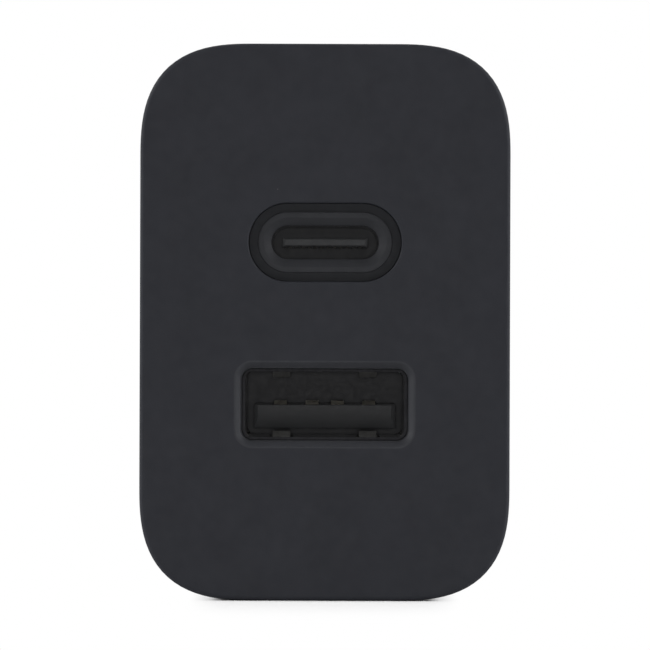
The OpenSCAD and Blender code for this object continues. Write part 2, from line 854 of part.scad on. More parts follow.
// Plate that closes the bearings from inside
module bearing_cap() {
    color(resin) difference() {
        union() {
            block(
                [-cheek_x1, cap_y0, pivot_z - cap_half],
                [cheek_x1, cap_y1, pivot_z + cap_half]
            );
            translate([0, 0, pivot_z]) extrude_y(cap_y0, cap_y1)
                polygon(stadium(2 * boss_r, 2 * (boss_pitch + boss_r)));
            both_sides() block(
                [cheek_x0 + key_gap, cap_y1 - bury, pivot_z - throat_half + key_gap],
                [cheek_x1 - key_gap, pivot_y - key_end, pivot_z + throat_half - key_gap]
            );
        }
        translate([0, pivot_y, pivot_z]) rod_x(-cheek_x1 - past, cheek_x1 + past, bearing_r);
        both_sides() block(
            [blade_x - spring_room, cap_y0 - past, pivot_z - spring_down],
            [blade_x + spring_room, cap_y1 + past, pivot_z + spring_up]
        );
        for (z = [pivot_z - boss_pitch, pivot_z + boss_pitch])
            translate([0, 0, z]) rod_y(cap_y0 - past, cap_y1 + past, screw_r + hole_gap);
    }
}

module bearing_cap_screws() {
    color(steel) for (z = [pivot_z - boss_pitch, pivot_z + boss_pitch])
        translate([0, cap_y0, z]) difference() {
            union() {
                rod_y(-screw_head_h, 0, screw_head_r);
                rod_y(-bury, cap_t + screw_l, screw_r);
            }
            for (a = [0, 90]) rotate([0, a, 0]) block(
                [-screw_slot_l / 2, -screw_head_h - past, -screw_slot_w / 2],
                [screw_slot_l / 2, screw_slot_d - screw_head_h, screw_slot_w / 2]
            );
        }
}

// Hairpin spring between the main board and the root of a blade
module contact_spring(x) {
    steps = 10;
    mid = (spring_face + main_rear) / 2;
    inner = spring_bend - spring_t;
    arc = [for (i = [0:steps]) let (a = 180 + 180 * i / steps) [cos(a), sin(a)]];
    bend = [mid, -spring_arm];
    tip = [spring_face - spring_tip_in, spring_arm + spring_tip_up];
    profile = concat(
        [[main_rear, spring_arm]],
        [for (p = arc) bend + spring_bend * p],
        [[spring_face, spring_arm], tip, tip - [spring_t, 0], [spring_face - spring_t, spring_arm]],
        [for (p = reversed(arc)) bend + inner * p],
        [[main_rear + spring_t, spring_arm]]
    );
    color(brass) translate([x, 0, pivot_z]) {
        extrude_x(-spring_w / 2, spring_w / 2) polygon(profile);
        block(
            [-spring_tab_w / 2, main_front + hole_gap, spring_tab_up - spring_tab_h / 2],
            [spring_tab_w / 2, main_rear + spring_t / 2, spring_tab_up + spring_tab_h / 2]
        );
    }
}

module contact_spring_left() {
    contact_spring(-blade_x);
}

module contact_spring_right() {
    contact_spring(blade_x);
}

// Sheet that keeps the cut leads of the main board off the plug
module insulation_sheet() {
    color("#d8cfa8") difference() {
        body_prism(wall + board_gap, cap_y0 - sheet_t, cap_y0);
        both_sides() {
            block(
                [blade_x - spring_room, cap_y0 - past, pivot_z - spring_down],
                [blade_x + spring_room, cap_y0 + past, pivot_z + spring_up]
            );
            for (z = [mid_z - post_z, mid_z + post_z])
                translate([post_x, 0, z]) rod_y(cap_y0 - past, cap_y0 + past, post_r + post_hole_gap);
        }
        for (z = [pivot_z - boss_pitch, pivot_z + boss_pitch])
            translate([0, 0, z]) rod_y(cap_y0 - past, cap_y0 + past, screw_head_r + post_hole_gap);
    }
}

// Round holes through a board for the leads at the given [x, z] places
module lead_holes(y0, y1, places, r) {
    for (p = places) translate([p.x, 0, mid_z + p.y]) rod_y(y0 - past, y1 + past, r + hole_gap);
}

module port_board() {
    hole_y0 = port_front - past;
    hole_y1 = port_rear + past;
    a_tab_x = a_shell_w / 2;
    c_tab_x = c_shell_w / 2;
    color(board_green) difference() {
        intersection() {
            body_prism(wall + board_gap, port_front, port_rear);
            block(
                [-body_w, port_front - past, mid_z - port_board_h / 2],
                [body_w, port_rear + past, mid_z + port_board_h / 2]
            );
        }
        both_sides() {
            block(
                [a_tab_x - a_sheet - hole_gap, hole_y0, a_z + a_tab_rise - a_tab_z / 2 - hole_gap],
                [a_tab_x + hole_gap, hole_y1, a_z + a_tab_rise + a_tab_z / 2 + hole_gap]
            );
            block(
                [c_tab_x - c_sheet - hole_gap, hole_y0, c_z - c_tab_z / 2 - hole_gap],
                [c_tab_x + hole_gap, hole_y1, c_z + c_tab_z / 2 + hole_gap]
            );
        }
        for (x = a_contact_x)
            block(
                [x - a_contact_w / 2 - hole_gap, hole_y0, a_tongue_z1 - a_contact_t - hole_gap],
                [x + a_contact_w / 2 + hole_gap, hole_y1, a_tongue_z1 + hole_gap]
            );
        lead_holes(port_front, port_rear, link_at, link_half * sqrt(2));
        for (at = [output_left_at, output_right_at])
            lead_holes(port_front, port_rear, lead_row(at, output_pitch), lead_r);
    }
}

// Two lead places side by side
function lead_row(at, pitch) = [at + [pitch / 2, 0], at - [pitch / 2, 0]];

module main_board() {
    pins = [for (p = pin_at) transformer_at + p];
    leads = concat(
        lead_row(bulk_upper_at, bulk_pitch), lead_row(bulk_lower_at, bulk_pitch),
        lead_row(filter_at, filter_pitch), lead_row(bridging_at, bridging_pitch),
        [fuse_at, fuse_at + [fuse_span, 0]], [for (p = choke_leads) choke_at + p]
    );
    slot_x = spring_tab_w / 2 + hole_gap;
    slot_half = spring_tab_h / 2 + hole_gap;
    slot_z = pivot_z + spring_tab_up;
    color(board_green) difference() {
        body_prism(wall + board_gap, main_front, main_rear);
        lead_holes(main_front, main_rear, leads, lead_r);
        lead_holes(main_front, main_rear, pins, pin_r);
        lead_holes(main_front, main_rear, link_at, link_half * sqrt(2));
        both_sides() block(
            [blade_x - slot_x, main_front - past, slot_z - slot_half],
            [blade_x + slot_x, main_rear + past, slot_z + slot_half]
        );
    }
}

// Square pins between the boards, with a shoulder against each board
module board_link_pins() {
    color(brass) for (p = link_at) translate([p.x, 0, mid_z + p.y]) {
        block(
            [-link_half, port_front - lead_out, -link_half],
            [link_half, main_rear + lead_out, link_half]
        );
        for (y = [port_rear, main_front - link_shoulder])
            block([-link_collar, y, -link_collar], [link_collar, y + link_shoulder, link_collar]);
    }
}

// Carries a component to the front of the main board, standing along -Y
module on_main(at) {
    translate([at.x, main_front, mid_z + at.y]) children();
}

// Carries a component to the rear of the port board, standing along +Y
module on_port(at) {
    translate([at.x, port_rear, mid_z + at.y]) mirror([0, 1, 0]) children();
}

// Leads through the board under a component, at [x, z] places round its middle
module leads_under(places, length) {
    for (p = places) translate([p.x, 0, p.y]) rod_y(-bury, length, lead_r);
}

// Half of the transformer core: a back with three legs that stand along -Y
module core_half() {
    leg = core_h / 2;
    half_t = core_t / 2;
    block([-half_t, -core_back, -core_w / 2], [half_t, 0, core_w / 2]);
    block([-half_t, -leg, -core_middle / 2], [half_t, 0, core_middle / 2]);
    block([-half_t, -leg, window_z], [half_t, 0, core_w / 2]);
    block([-half_t, -leg, -core_w / 2], [half_t, 0, -window_z]);
}

module transformer_core_rear() {
    color(ferrite) on_main(transformer_at) translate([0, -core_stand, 0]) core_half();
}

module transformer_core_front() {
    color(ferrite) on_main(transformer_at) translate([0, -core_stand - core_h, 0])
        mirror([0, 1, 0]) core_half();
}

module transformer_bobbin() {
    y1 = -core_stand - core_back;
    y0 = y1 - core_window;
    color(resin) on_main(transformer_at) {
        difference() {
            union() {
                extrude_y(y0, y1) square([tube_w, tube_h], true);
                for (y = [y0, y1 - flange_t])
                    block([-bobbin_x, y, -flange_z], [bobbin_x, y + flange_t, flange_z]);
                both_sides() block([rail_x0, y1 - bury, -flange_z], [bobbin_x, 0, flange_z]);
            }
            extrude_y(y0 - past, y1 + past)
                square([core_t + 2 * bobbin_gap, core_middle + 2 * bobbin_gap], true);
        }
    }
}

module transformer_winding() {
    y1 = -core_stand - core_back - flange_t;
    y0 = y1 - core_window + 2 * flange_t;
    color(copper) on_main(transformer_at) extrude_y(y0, y1) difference() {
        polygon(outline(2 * (bobbin_x - winding_gap), 2 * (flange_z - winding_gap / 2), winding_r));
        square([tube_w, tube_h], true);
    }
}

module transformer_pins() {
    color(steel) on_main(transformer_at)
        for (p = pin_at) translate([p.x, 0, p.y]) rod_y(0, main_lead, pin_r);
}

// Round capacitor with a crimped foot
module can(d, h, pitch, lead) {
    r = d / 2;
    rotate([90, 0, 0]) rotate_extrude() polygon([
        [0, 0], [r - crimp, 0], [r, crimp], [r, crimp_rise], [r - crimp, crimp_rise + crimp],
        [r, crimp_rise + 2 * crimp], [r, h - crimp], [r - crimp, h], [0, h]
    ]);
    leads_under(lead_row([0, 0], pitch), lead);
}

module bulk_capacitor_upper() {
    color("#26282c") on_main(bulk_upper_at) can(bulk_d, bulk_h, bulk_pitch, main_lead);
}

module bulk_capacitor_lower() {
    color("#26282c") on_main(bulk_lower_at) can(bulk_d, bulk_h, bulk_pitch, main_lead);
}

module output_capacitor_left() {
    color(steel) on_port(output_left_at) can(output_d, output_h, output_pitch, port_lead);
}

module output_capacitor_right() {
    color(steel) on_port(output_right_at) can(output_d, output_h, output_pitch, port_lead);
}

module line_filter_capacitor() {
    color("#d9b23c") on_main(filter_at) {
        extrude_y(-filter_size[2], 0) polygon(outline(filter_size.x, filter_size.y, filter_edge));
        leads_under(lead_row([0, 0], filter_pitch), main_lead);
    }
}

module bridging_capacitor() {
    r = bridging_r;
    half_t = bridging_t / 2;
    flat = half_t - bridging_edge;
    color("#2f62a8") on_main(bridging_at) {
        translate([0, -bridging_stand - r, 0]) rotate_extrude() polygon([
            [0, -half_t], [r - bridging_edge, -half_t], [r, -flat],
            [r, flat], [r - bridging_edge, half_t], [0, half_t]
        ]);
        for (p = lead_row([0, 0], bridging_pitch))
            translate([p.x, 0, 0]) rod_y(-bridging_stand - r, main_lead, lead_r);
    }
}

module choke_core() {
    color(ferrite) on_main(choke_at) translate([0, -choke_wire, 0]) difference() {
        rod_y(-choke_h, 0, choke_r);
        rod_y(-choke_h - past, past, choke_in);
    }
}

// Two windings, one on each side of the ring
module choke_winding() {
    w = choke_r - choke_in;
    color(copper) on_main(choke_at) {
        rotate([90, 0, 0]) for (a = [90 - choke_turn / 2, 270 - choke_turn / 2])
            rotate([0, 0, a]) rotate_extrude(angle = choke_turn) difference() {
                translate([choke_in - choke_wire, 0])
                    square([w + 2 * choke_wire, choke_h + 2 * choke_wire]);
                translate([choke_in, choke_wire]) square([w, choke_h]);
            }
        leads_under(choke_leads, main_lead);
    }
}

// Standing fuse with its upper lead bent down beside it
module fuse() {
    top = fuse_h + fuse_rise;
    color("#cfd2cc") on_main(fuse_at) {
        rod_y(-fuse_h, 0, fuse_r);
        rod_y(-top, main_lead, lead_r);
        translate([0, -top, 0]) rod_x(0, fuse_span, lead_r);
        translate([0, -top, 0]) sphere(lead_r);
        translate([fuse_span, -top, 0]) sphere(lead_r);
        translate([fuse_span, 0, 0]) rod_y(-top, main_lead, lead_r);
    }
}

// Moulded package on bent legs: its width, height and thickness, and its legs per side
module gull_package(size, legs, pitch) {
    out = size.x / 2;
    top = -leg_stand - size[2];
    shin = -leg_stand - size[2] / 2;
    knee = out + leg_knee;
    block([-out, top, -size.y / 2], [out, -leg_stand, size.y / 2]);
    both_sides() for (i = [0:legs - 1])
        translate([0, 0, (i - (legs - 1) / 2) * pitch - leg_w / 2])
            linear_extrude(leg_w) polygon([
                [out - leg_t, shin], [knee, shin], [knee, -leg_t], [knee + leg_foot, -leg_t],
                [knee + leg_foot, 0], [knee - leg_t, 0], [knee - leg_t, shin + leg_t],
                [out - leg_t, shin + leg_t]
            ]);
}

module bridge_rectifier() {
    color(resin) on_main(bridge_at) gull_package(bridge_size, 2, bridge_pitch);
}

module primary_controller() {
    color(resin) on_main(controller_at) gull_package(controller_size, 4, controller_pitch);
}

module optocoupler() {
    color(resin) on_main(opto_at) gull_package(opto_size, 2, opto_pitch);
}

// Leadless package with a notch that marks its first contact
module flat_package(size) {
    difference() {
        block([-size.x / 2, -size[2], -size.y / 2], [size.x / 2, 0, size.y / 2]);
        translate([chip_mark_in - size.x / 2, 0, size.y / 2 - chip_mark_in])
            rod_y(-size[2] - past, chip_mark_d - size[2], chip_mark_r);
    }
}

module port_controller() {
    color(resin) on_port(port_chip_at) flat_package(port_chip_size);
}

module sync_rectifier() {
    color(resin) on_port(sync_chip_at) flat_package(sync_chip_size);
}

front_housing();
rear_cover();
usb_c_collar();
usb_c_shell();
usb_c_tongue();
usb_c_contacts();
usb_a_shell();
usb_a_tongue();
usb_a_contacts();
blade_rotor();
blade_left();
blade_right();
bearing_cap();
bearing_cap_screws();
contact_spring_left();
contact_spring_right();
insulation_sheet();
port_board();
main_board();
board_link_pins();
transformer_core_front();
transformer_core_rear();
transformer_bobbin();
transformer_winding();
transformer_pins();
bulk_capacitor_upper();
bulk_capacitor_lower();
output_capacitor_left();
output_capacitor_right();
line_filter_capacitor();
bridging_capacitor();
choke_core();
choke_winding();
fuse();
bridge_rectifier();
primary_controller();
optocoupler();
port_controller();
sync_rectifier();
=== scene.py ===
import json
import math
from functools import cache, partialmethod

import bmesh
import bpy
from bpy.props import FloatProperty, FloatVectorProperty, IntProperty, PointerProperty
from bpy.types import Operator, Panel, PropertyGroup
from mathutils import Matrix, Vector


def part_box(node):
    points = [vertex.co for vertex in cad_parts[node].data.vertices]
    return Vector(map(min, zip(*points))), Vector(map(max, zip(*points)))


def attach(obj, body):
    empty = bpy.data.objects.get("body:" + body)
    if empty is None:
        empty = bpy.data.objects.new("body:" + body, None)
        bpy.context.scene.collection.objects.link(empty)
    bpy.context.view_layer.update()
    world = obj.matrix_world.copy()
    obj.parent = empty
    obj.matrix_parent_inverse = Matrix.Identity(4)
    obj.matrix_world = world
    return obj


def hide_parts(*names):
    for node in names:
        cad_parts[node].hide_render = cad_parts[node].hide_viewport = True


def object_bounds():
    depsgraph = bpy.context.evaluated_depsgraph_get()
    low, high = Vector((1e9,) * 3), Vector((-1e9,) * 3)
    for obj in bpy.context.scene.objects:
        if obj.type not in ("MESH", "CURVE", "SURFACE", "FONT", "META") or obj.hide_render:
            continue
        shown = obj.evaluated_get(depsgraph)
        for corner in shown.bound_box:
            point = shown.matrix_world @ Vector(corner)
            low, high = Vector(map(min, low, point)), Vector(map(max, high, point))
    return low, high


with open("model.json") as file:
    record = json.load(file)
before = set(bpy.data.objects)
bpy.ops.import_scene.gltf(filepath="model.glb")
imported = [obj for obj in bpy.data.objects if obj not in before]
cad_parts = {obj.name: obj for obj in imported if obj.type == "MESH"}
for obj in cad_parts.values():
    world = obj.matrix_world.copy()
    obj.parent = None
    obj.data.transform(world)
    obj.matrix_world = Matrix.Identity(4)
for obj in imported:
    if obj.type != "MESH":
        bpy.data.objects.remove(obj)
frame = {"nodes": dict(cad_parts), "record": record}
cad_box = [Vector(corner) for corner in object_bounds()]

bl_info = {
    "name": "USB Wall Charger",
    "version": (1, 0, 0),
    "blender": (4, 5, 0),
    "location": "3D View > Sidebar > Charger",
    "description": "Looks of a two-port wall charger with a folding plug, and its studio",
    "category": "Object",
}

# Units, names and turns
MM = 0.001
TINY = 1e-6
UPRIGHT = Matrix.Rotation(math.pi / 2, 4, "X")

# Angles between faces: merged as flat, shaded smooth, softened
FLAT_BELOW = math.radians(0.5)
SMOOTH_BELOW = math.radians(28)
SOFTEN_ABOVE = math.radians(35)
SOFTEN_STEPS = 2

# Share of a normal along Y: most on a tongue's flank, least on a face that looks out of a shell
FLANK_TURN = 0.05
FRONT_TURN = 0.2

# Lengths too small to be settings
EASE = 0.08 * MM
END_FLAT = 0.02 * MM
TIP_DEPTH = 0.5 * MM
SHELL_EDGE = 0.1 * MM
SHELL_GAP = 0.03 * MM
CONTACT_SHEET = 0.08 * MM
CONTACT_EDGE = 0.015 * MM

# Round outlines: power of their curve, and points along a corner or round a wire
ARC_POWER = 2.0
OPENING_STEPS = 16
BEND_STEPS = 5
WIRE_STEPS = 12
LEAD_STEPS = 16

# Where the choke's leads leave its ring, in degrees
LEAD_ANGLES = (35, 145, 215, 325)

# Sockets of a colour mix, and the detail and middle part of a noise
MIX_COLOURS = (6, 7)
MIX_RESULT = 2
NOISE_DETAIL = 2.0
NOISE_LOW = 0.3
NOISE_HIGH = 0.7

# Stretches of a pattern: none, and drawn out along Z
EVEN = (1.0, 1.0, 1.0)
ALONG_Z = (1.0, 1.0, 0.06)

# Stage, in metres: each lamp's name, place, size and the setting of its power
LAMPS = (
    ("front_lamp", (0.0, -0.8, 0.022), (0.05, 0.05), "front_power"),
    ("side_lamp", (-0.6, -0.075, 0.235), (0.12, 0.3), "side_power"),
    ("side_lamp", (0.6, -0.075, 0.235), (0.12, 0.3), "side_power"),
    ("top_lamp", (0.0, 0.3, 0.7), (0.6, 0.5), "top_power"),
    ("back_lamp", (0.0, 0.75, 0.2), (0.5, 0.4), "back_power"),
)
FLOOR_HALF = 3.0
FLOOR_LEVEL = -0.02 * MM
FLOOR_BOUNCE = 0.92
CLIP_START = 0.01
SENSOR_WIDTH = 36.0

# What the frame says about its nodes
RECORD = frame["record"]
BODY_OF = {node: body for body, nodes in RECORD["behaviour"]["bodies"].items() for node in nodes}


def corners(node):
    """Lowest and highest corner of a node, as vectors."""
    low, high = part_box(node)
    return Vector(low), Vector(high)


def middle(node):
    """Middle of a node's box."""
    low, high = corners(node)
    return (low + high) / 2


HOUSING_LOW, HOUSING_HIGH = corners("front_housing")
HOUSING_MIDDLE = middle("front_housing")
PORT_C = middle("usb_c_shell")
PORT_A = middle("usb_a_shell")


# Settings

def length(label, note, millimetres):
    """Length property whose default is given in millimetres."""
    return FloatProperty(
        name=label, description=note, default=millimetres * MM, min=0.0, precision=5, unit="LENGTH"
    )


def amount(label, note, value):
    """Plain number property."""
    return FloatProperty(name=label, description=note, default=value, min=0.0, precision=3)


def whole(label, note, value):
    """Whole number property."""
    return IntProperty(name=label, description=note, default=value, min=2)


def tint(label, note, colour):
    """Colour property."""
    return FloatVectorProperty(
        name=label, description=note, default=colour, min=0.0, max=1.0, size=3, subtype="COLOR"
    )


class HousingSettings(PropertyGroup):
    """Sizes of the front housing"""

    corner: length("Corner", "Length of each side that a corner curve takes up", 8.95)
    squareness: amount("Squareness", "Power of the corner curve, where 2 is an arc", 2.72)
    wall: length("Wall", "Thickness of the side walls", 1.8)
    face: length("Face", "Thickness of the port face", 2.0)
    rim: length("Rim", "Rounding of the rim of the port face", 0.35)
    parting: length("Parting", "Chamfer beside the parting line", 0.2)
    ledge: length("Ledge", "Width and height of the inner ledges", 1.6)
    cover_edge: length("Cover edge", "Softness of the edges of the rear cover", 0.14)
    steps: whole("Steps", "Points along each corner curve", 24)


class PortSettings(PropertyGroup):
    """Sizes of the two ports"""

    recess_width: length("Recess width", "Width of the recess round the small port", 12.0)
    recess_height: length("Recess height", "Height of that recess", 6.15)
    recess_rim: length("Recess rim", "Rounding of the rim of the recess", 0.15)
    collar_width: length("Collar width", "Width of the collar in the recess", 10.5)
    collar_height: length("Collar height", "Height of that collar", 4.72)
    collar_set: length("Collar set", "Depth of the collar behind the port face", 0.35)
    collar_wall: length("Collar wall", "Thickness of the collar round the shell", 0.7)
    lip: length("Lip", "Distance of the collar's lip from its outside", 1.03)
    lip_thickness: length("Lip thickness", "Thickness of that lip", 0.15)
    lead_in: length("Lead-in", "Width of the chamfer that leads the plug in", 0.6)
    lead_fall: length("Lead fall", "Depth of that chamfer", 0.36)
    groove: length("Groove", "Depth of the groove round the collar", 0.9)
    shoulder: length("Shoulder", "Overhang of the shoulder that floors the groove", 0.7)
    flange: length("Flange", "Overhang of the collar's flange behind the face", 1.6)
    flange_thickness: length("Flange thickness", "Thickness of that flange", 1.0)
    edge: length("Edge", "Softness of the moulded edges", 0.06)
    slot_width: length("Slot width", "Width of the cut-out for the large port", 13.2)
    slot_height: length("Slot height", "Height of that cut-out", 5.82)
    slot_corner: length("Slot corner", "Radius of its corners", 0.95)
    slot_chamfer: length("Slot chamfer", "Chamfer on its rim", 0.4)
    slot_fall: length("Slot fall", "Depth of that chamfer", 0.3)
    slot_stop: length("Slot stop", "Depth of the step that closes round the shell", 0.45)
    slot_step: length("Slot step", "Height of that step", 0.08)
    small_nose: length("Small nose", "Length of the nose on the small port's tongue", 0.4)
    small_blunt: length("Small blunt", "Length the top of that nose is blunted to", 0.1)
    small_under: length("Small under", "Length its underside is blunted to", 0.26)
    small_lift: length("Small lift", "Lift of the top edge of its tip", 0.04)
    large_nose: length("Large nose", "Length of the nose on the large port's tongue", 0.72)
    large_blunt: length("Large blunt", "Length the top of that nose is blunted to", 0.1)
    large_under: length("Large under", "Length its underside is blunted to", 0.5)
    large_lift: length("Large lift", "Lift of the top edge of its tip", 0.15)
    large_rise: length("Large rise", "Lift of the bottom edge of its tip", 0.2)
    small_well: length("Small well", "Depth of the small port's well behind its mouth", 6.6)
    large_well: length("Large well", "Depth of the large port's well", 11.2)
    well_gap: length("Well gap", "Part of the gap round the wells that is closed", 0.045)
    shell_wall: length("Shell wall", "Sheet of the large port's shell", 0.3)
    contact_pitch: length("Contact pitch", "Spacing of the small port's contacts", 0.5)
    contact_width: length("Contact width", "Width of one of those contacts", 0.25)
    contact_count: whole("Contacts", "Contacts on each side", 12)


class WindingSettings(PropertyGroup):
    """Sizes of the choke's winding"""

    turns: whole("Turns", "Turns in each group", 7)
    wire: length("Wire", "Radius of the wire", 0.27)
    bend: length("Bend", "Radius the wire turns at each corner", 0.5)
    spread: amount("Spread", "Angle of each group in degrees", 113.0)
    lead: length("Lead", "Radius of the leads", 0.3)


class FinishSettings(PropertyGroup):
    """Colours of the surfaces"""

    plastic: tint("Plastic", "Moulded housing", (0.0161, 0.0170, 0.0210))
    # Painted highlight: a lighter copy of the housing's moulding on the large port's cut-out, to
    # brighten its rim
    cut: tint("Cut", "Edge of the large port's cut-out", (0.0205, 0.0214, 0.0252))
    collar: tint("Collar", "Moulded collar of the small port", (0.0172, 0.0179, 0.0204))
    # Painted light: the tongues share the lightened well colour, and their tips are set lighter or
    # darker than it to how lit they look
    small_tongue: tint("Small tongue", "Tip of the small port's tongue", (0.0322, 0.0330, 0.0346))
    large_tongue: tint("Large tongue", "Tip of the large port's tongue", (0.0165, 0.0169, 0.0179))
    # Painted light: lighter than the housing's moulding, to lift the shade deep in the ports
    well: tint("Well", "Moulding at the bottom of the ports", (0.0238, 0.0238, 0.0255))
    shell: tint("Shell", "Nickel of the ports' shells", (0.5525, 0.5525, 0.5525))
    # Painted shade: near black, far darker than the shells' nickel, as if their front edges lay in
    # shade
    sheared: tint("Sheared", "Sheared front edges of those shells", (0.024, 0.024, 0.026))
    # Painted shade: a dark copy of the shells' nickel on their spring leaves and on inner faces
    # that look to the front
    leaf: tint("Leaf", "Spring leaves in the large port", (0.0608, 0.0603, 0.0589))
    contact: tint("Contact", "Gold flash of the contacts", (0.52, 0.49, 0.43))
    blade: tint("Blade", "Nickel plate of the blades", (0.60, 0.585, 0.555))
    speck: tint("Speck", "Faint specks in the moulding", (0.10, 0.10, 0.105))


class StageSettings(PropertyGroup):
    """Camera, floor and lamps"""

    distance: length("Distance", "From the camera to the port face", 400.0)
    view_width: length("View width", "Width of the picture at the port face", 50.86)
    aside: length("Aside", "Camera to the right of the body's middle", 0.007)
    below: length("Below", "Camera below the body's middle", 0.222)
    roll: FloatProperty(
        name="Roll", description="Turn of the camera about its view", unit="ROTATION",
        default=math.radians(0.186),
    )
    ambient: amount("Ambient", "Light from all round", 0.08)
    front_power: amount("Front power", "Watts of the lamp behind the camera", 2.0)
    side_power: amount("Side power", "Watts of each side lamp", 4.9)
    top_power: amount("Top power", "Watts of the lamp above", 1.3)
    back_power: amount("Back power", "Watts of the lamp behind the charger", 2.4)
    floor_tone: amount("Floor tone", "Lightness of the floor where the shadow lies", 0.96)
    shadow_half: length("Shadow half", "Half width of the shadow", 7.5)
    shadow_edge: amount("Shadow edge", "How much sooner it ends at its sides", 9.0)
    shadow_reach: length("Shadow reach", "How far it lies before the charger", 30.0)


class ChargerSettings(PropertyGroup):
    """All settings of the charger"""

    housing: PointerProperty(type=HousingSettings)
    ports: PointerProperty(type=PortSettings)
    winding: PointerProperty(type=WindingSettings)
    finishes: PointerProperty(type=FinishSettings)
    stage: PointerProperty(type=StageSettings)


# Node trees

class Field:
    """Socket of a node tree that takes part in sums written as Python."""

    def __init__(self, tree, socket):
        self.tree = tree
        self.socket = socket

    def combine(self, operation, *others):
        return self.tree.math(operation, self, *others)

    __add__ = partialmethod(combine, "ADD")
    __sub__ = partialmethod(combine, "SUBTRACT")
    __mul__ = partialmethod(combine, "MULTIPLY")
    __truediv__ = partialmethod(combine, "DIVIDE")
    __pow__ = partialmethod(combine, "POWER")
    __abs__ = partialmethod(combine, "ABSOLUTE")


class Tree:
    """Geometry Nodes tree under construction, with named inputs and a material."""

    def __init__(self, name, inputs):
        self.group = bpy.data.node_groups.new(name, "GeometryNodeTree")
        self.identifiers = {}
        self.socket("Geometry", "Geometry", "INPUT")
        for label, kind in {**inputs, "Material": "Material"}.items():
            self.identifiers[label] = self.socket(label, kind, "INPUT").identifier
        self.socket("Geometry", "Geometry", "OUTPUT")
        self.start = self.group.nodes.new("NodeGroupInput")

    def socket(self, label, kind, way):
        return self.group.interface.new_socket(label, in_out=way, socket_type="NodeSocket" + kind)

    def given(self, label):
        """Input of the tree."""
        return Field(self, self.start.outputs[label])

    def feed(self, socket, value):
        if isinstance(value, Field):
            self.group.links.new(value.socket, socket)
        else:
            socket.default_value = value

    def node(self, kind, feeds, output="Geometry", family="Geometry", **settings):
        """One output of a new node, with its inputs fed by name or by number."""
        made = self.group.nodes.new(family + "Node" + kind)
        for key, value in settings.items():
            setattr(made, key, value)
        for label, value in feeds.items():
            self.feed(made.inputs[label], value)
        return Field(self, made.outputs[output])

    def math(self, operation, *values):
        return self.node("Math", dict(enumerate(values)), 0, "Shader", operation=operation)

    def vector(self, x, y, z):
        return self.node("CombineXYZ", {"X": x, "Y": y, "Z": z}, "Vector", "Shader")

    def parts(self, vector):
        """X, Y and Z of a vector."""
        made = self.group.nodes.new("ShaderNodeSeparateXYZ")
        self.feed(made.inputs["Vector"], vector)
        return [Field(self, made.outputs[axis]) for axis in "XYZ"]

    def close(self, geometry):
        """Realizes the geometry, paints it and ends the tree."""
        solid = self.node("RealizeInstances", {"Geometry": geometry})
        feeds = {"Geometry": solid, "Material": self.given("Material")}
        painted = self.node("SetMaterial", feeds)
        end = self.group.nodes.new("NodeGroupOutput")
        self.feed(end.inputs["Geometry"], painted)
        return self


@cache
def rounded_tube():
    """Tree that sweeps a profile of [inset, depth] points round a curved-corner rectangle."""
    tree = Tree("rounded_tube", {
        "Width": "Float", "Height": "Float", "Corner": "Float", "Squareness": "Float",
        "Steps": "Int", "Level": "Float",
    })
    profile = tree.given("Geometry")
    corner = tree.given("Corner")
    power = tree.given("Squareness")
    count = tree.node("AttributeDomainSize", {"Geometry": profile}, "Point Count")
    round_count = tree.given("Steps") * 4.0
    grid = tree.node("MeshGrid", {
        "Size X": 1.0, "Size Y": 1.0, "Vertices X": round_count + 1.0, "Vertices Y": count,
    }, "Mesh")
    here = tree.node("InputPosition", {}, "Position")
    along, across, _ = tree.parts(here)
    step = tree.math("ROUND", (across + 0.5) * (count - 1.0))
    sample = tree.node("SampleIndex", {
        "Geometry": profile, "Value": here, "Index": step,
    }, "Value", data_type="FLOAT_VECTOR")
    inset, depth, _ = tree.parts(sample)
    angle = (along + 0.5 + tree.math("DIVIDE", 0.5, round_count)) * math.tau
    cosine = tree.math("COSINE", angle)
    sine = tree.math("SINE", angle)
    spread = (abs(cosine) ** power + abs(sine) ** power) ** tree.math("DIVIDE", 1.0, power)
    reach = (corner - inset) / spread
    x = tree.math("SIGN", cosine) * (tree.given("Width") / 2.0 - corner) + reach * cosine
    z = tree.math("SIGN", sine) * (tree.given("Height") / 2.0 - corner) + reach * sine
    place = tree.vector(x, depth, z + tree.given("Level"))
    swept = tree.node("SetPosition", {"Geometry": grid, "Position": place})
    return tree.close(tree.node("MergeByDistance", {
        "Geometry": swept, "Distance": TINY,
    }))


@cache
def contact_rows():
    """Tree that sets a row of contacts on each face of a tongue."""
    tree = Tree("contact_rows", {"Count": "Int", "Pitch": "Float", "Level": "Float"})
    count = tree.given("Count")
    pitch = tree.given("Pitch")
    first = (count - 1.0) * pitch * -0.5
    line = tree.node("MeshLine", {
        "Count": count, "Start Location": tree.vector(first, 0.0, 0.0),
        "Offset": tree.vector(pitch, 0.0, 0.0),
    }, "Mesh")
    row = tree.node("InstanceOnPoints", {
        "Points": line, "Instance": tree.given("Geometry"),
    }, "Instances")
    solid = tree.node("RealizeInstances", {"Geometry": row})
    lower = tree.node("Transform", {
        "Geometry": solid, "Rotation": (0.0, math.pi, 0.0),
    })
    both = tree.group.nodes.new("GeometryNodeJoinGeometry")
    for part in (solid, lower):
        tree.group.links.new(part.socket, both.inputs[0])
    level = tree.vector(0.0, 0.0, tree.given("Level"))
    return tree.close(tree.node("Transform", {
        "Geometry": Field(tree, both.outputs[0]), "Translation": level,
    }))


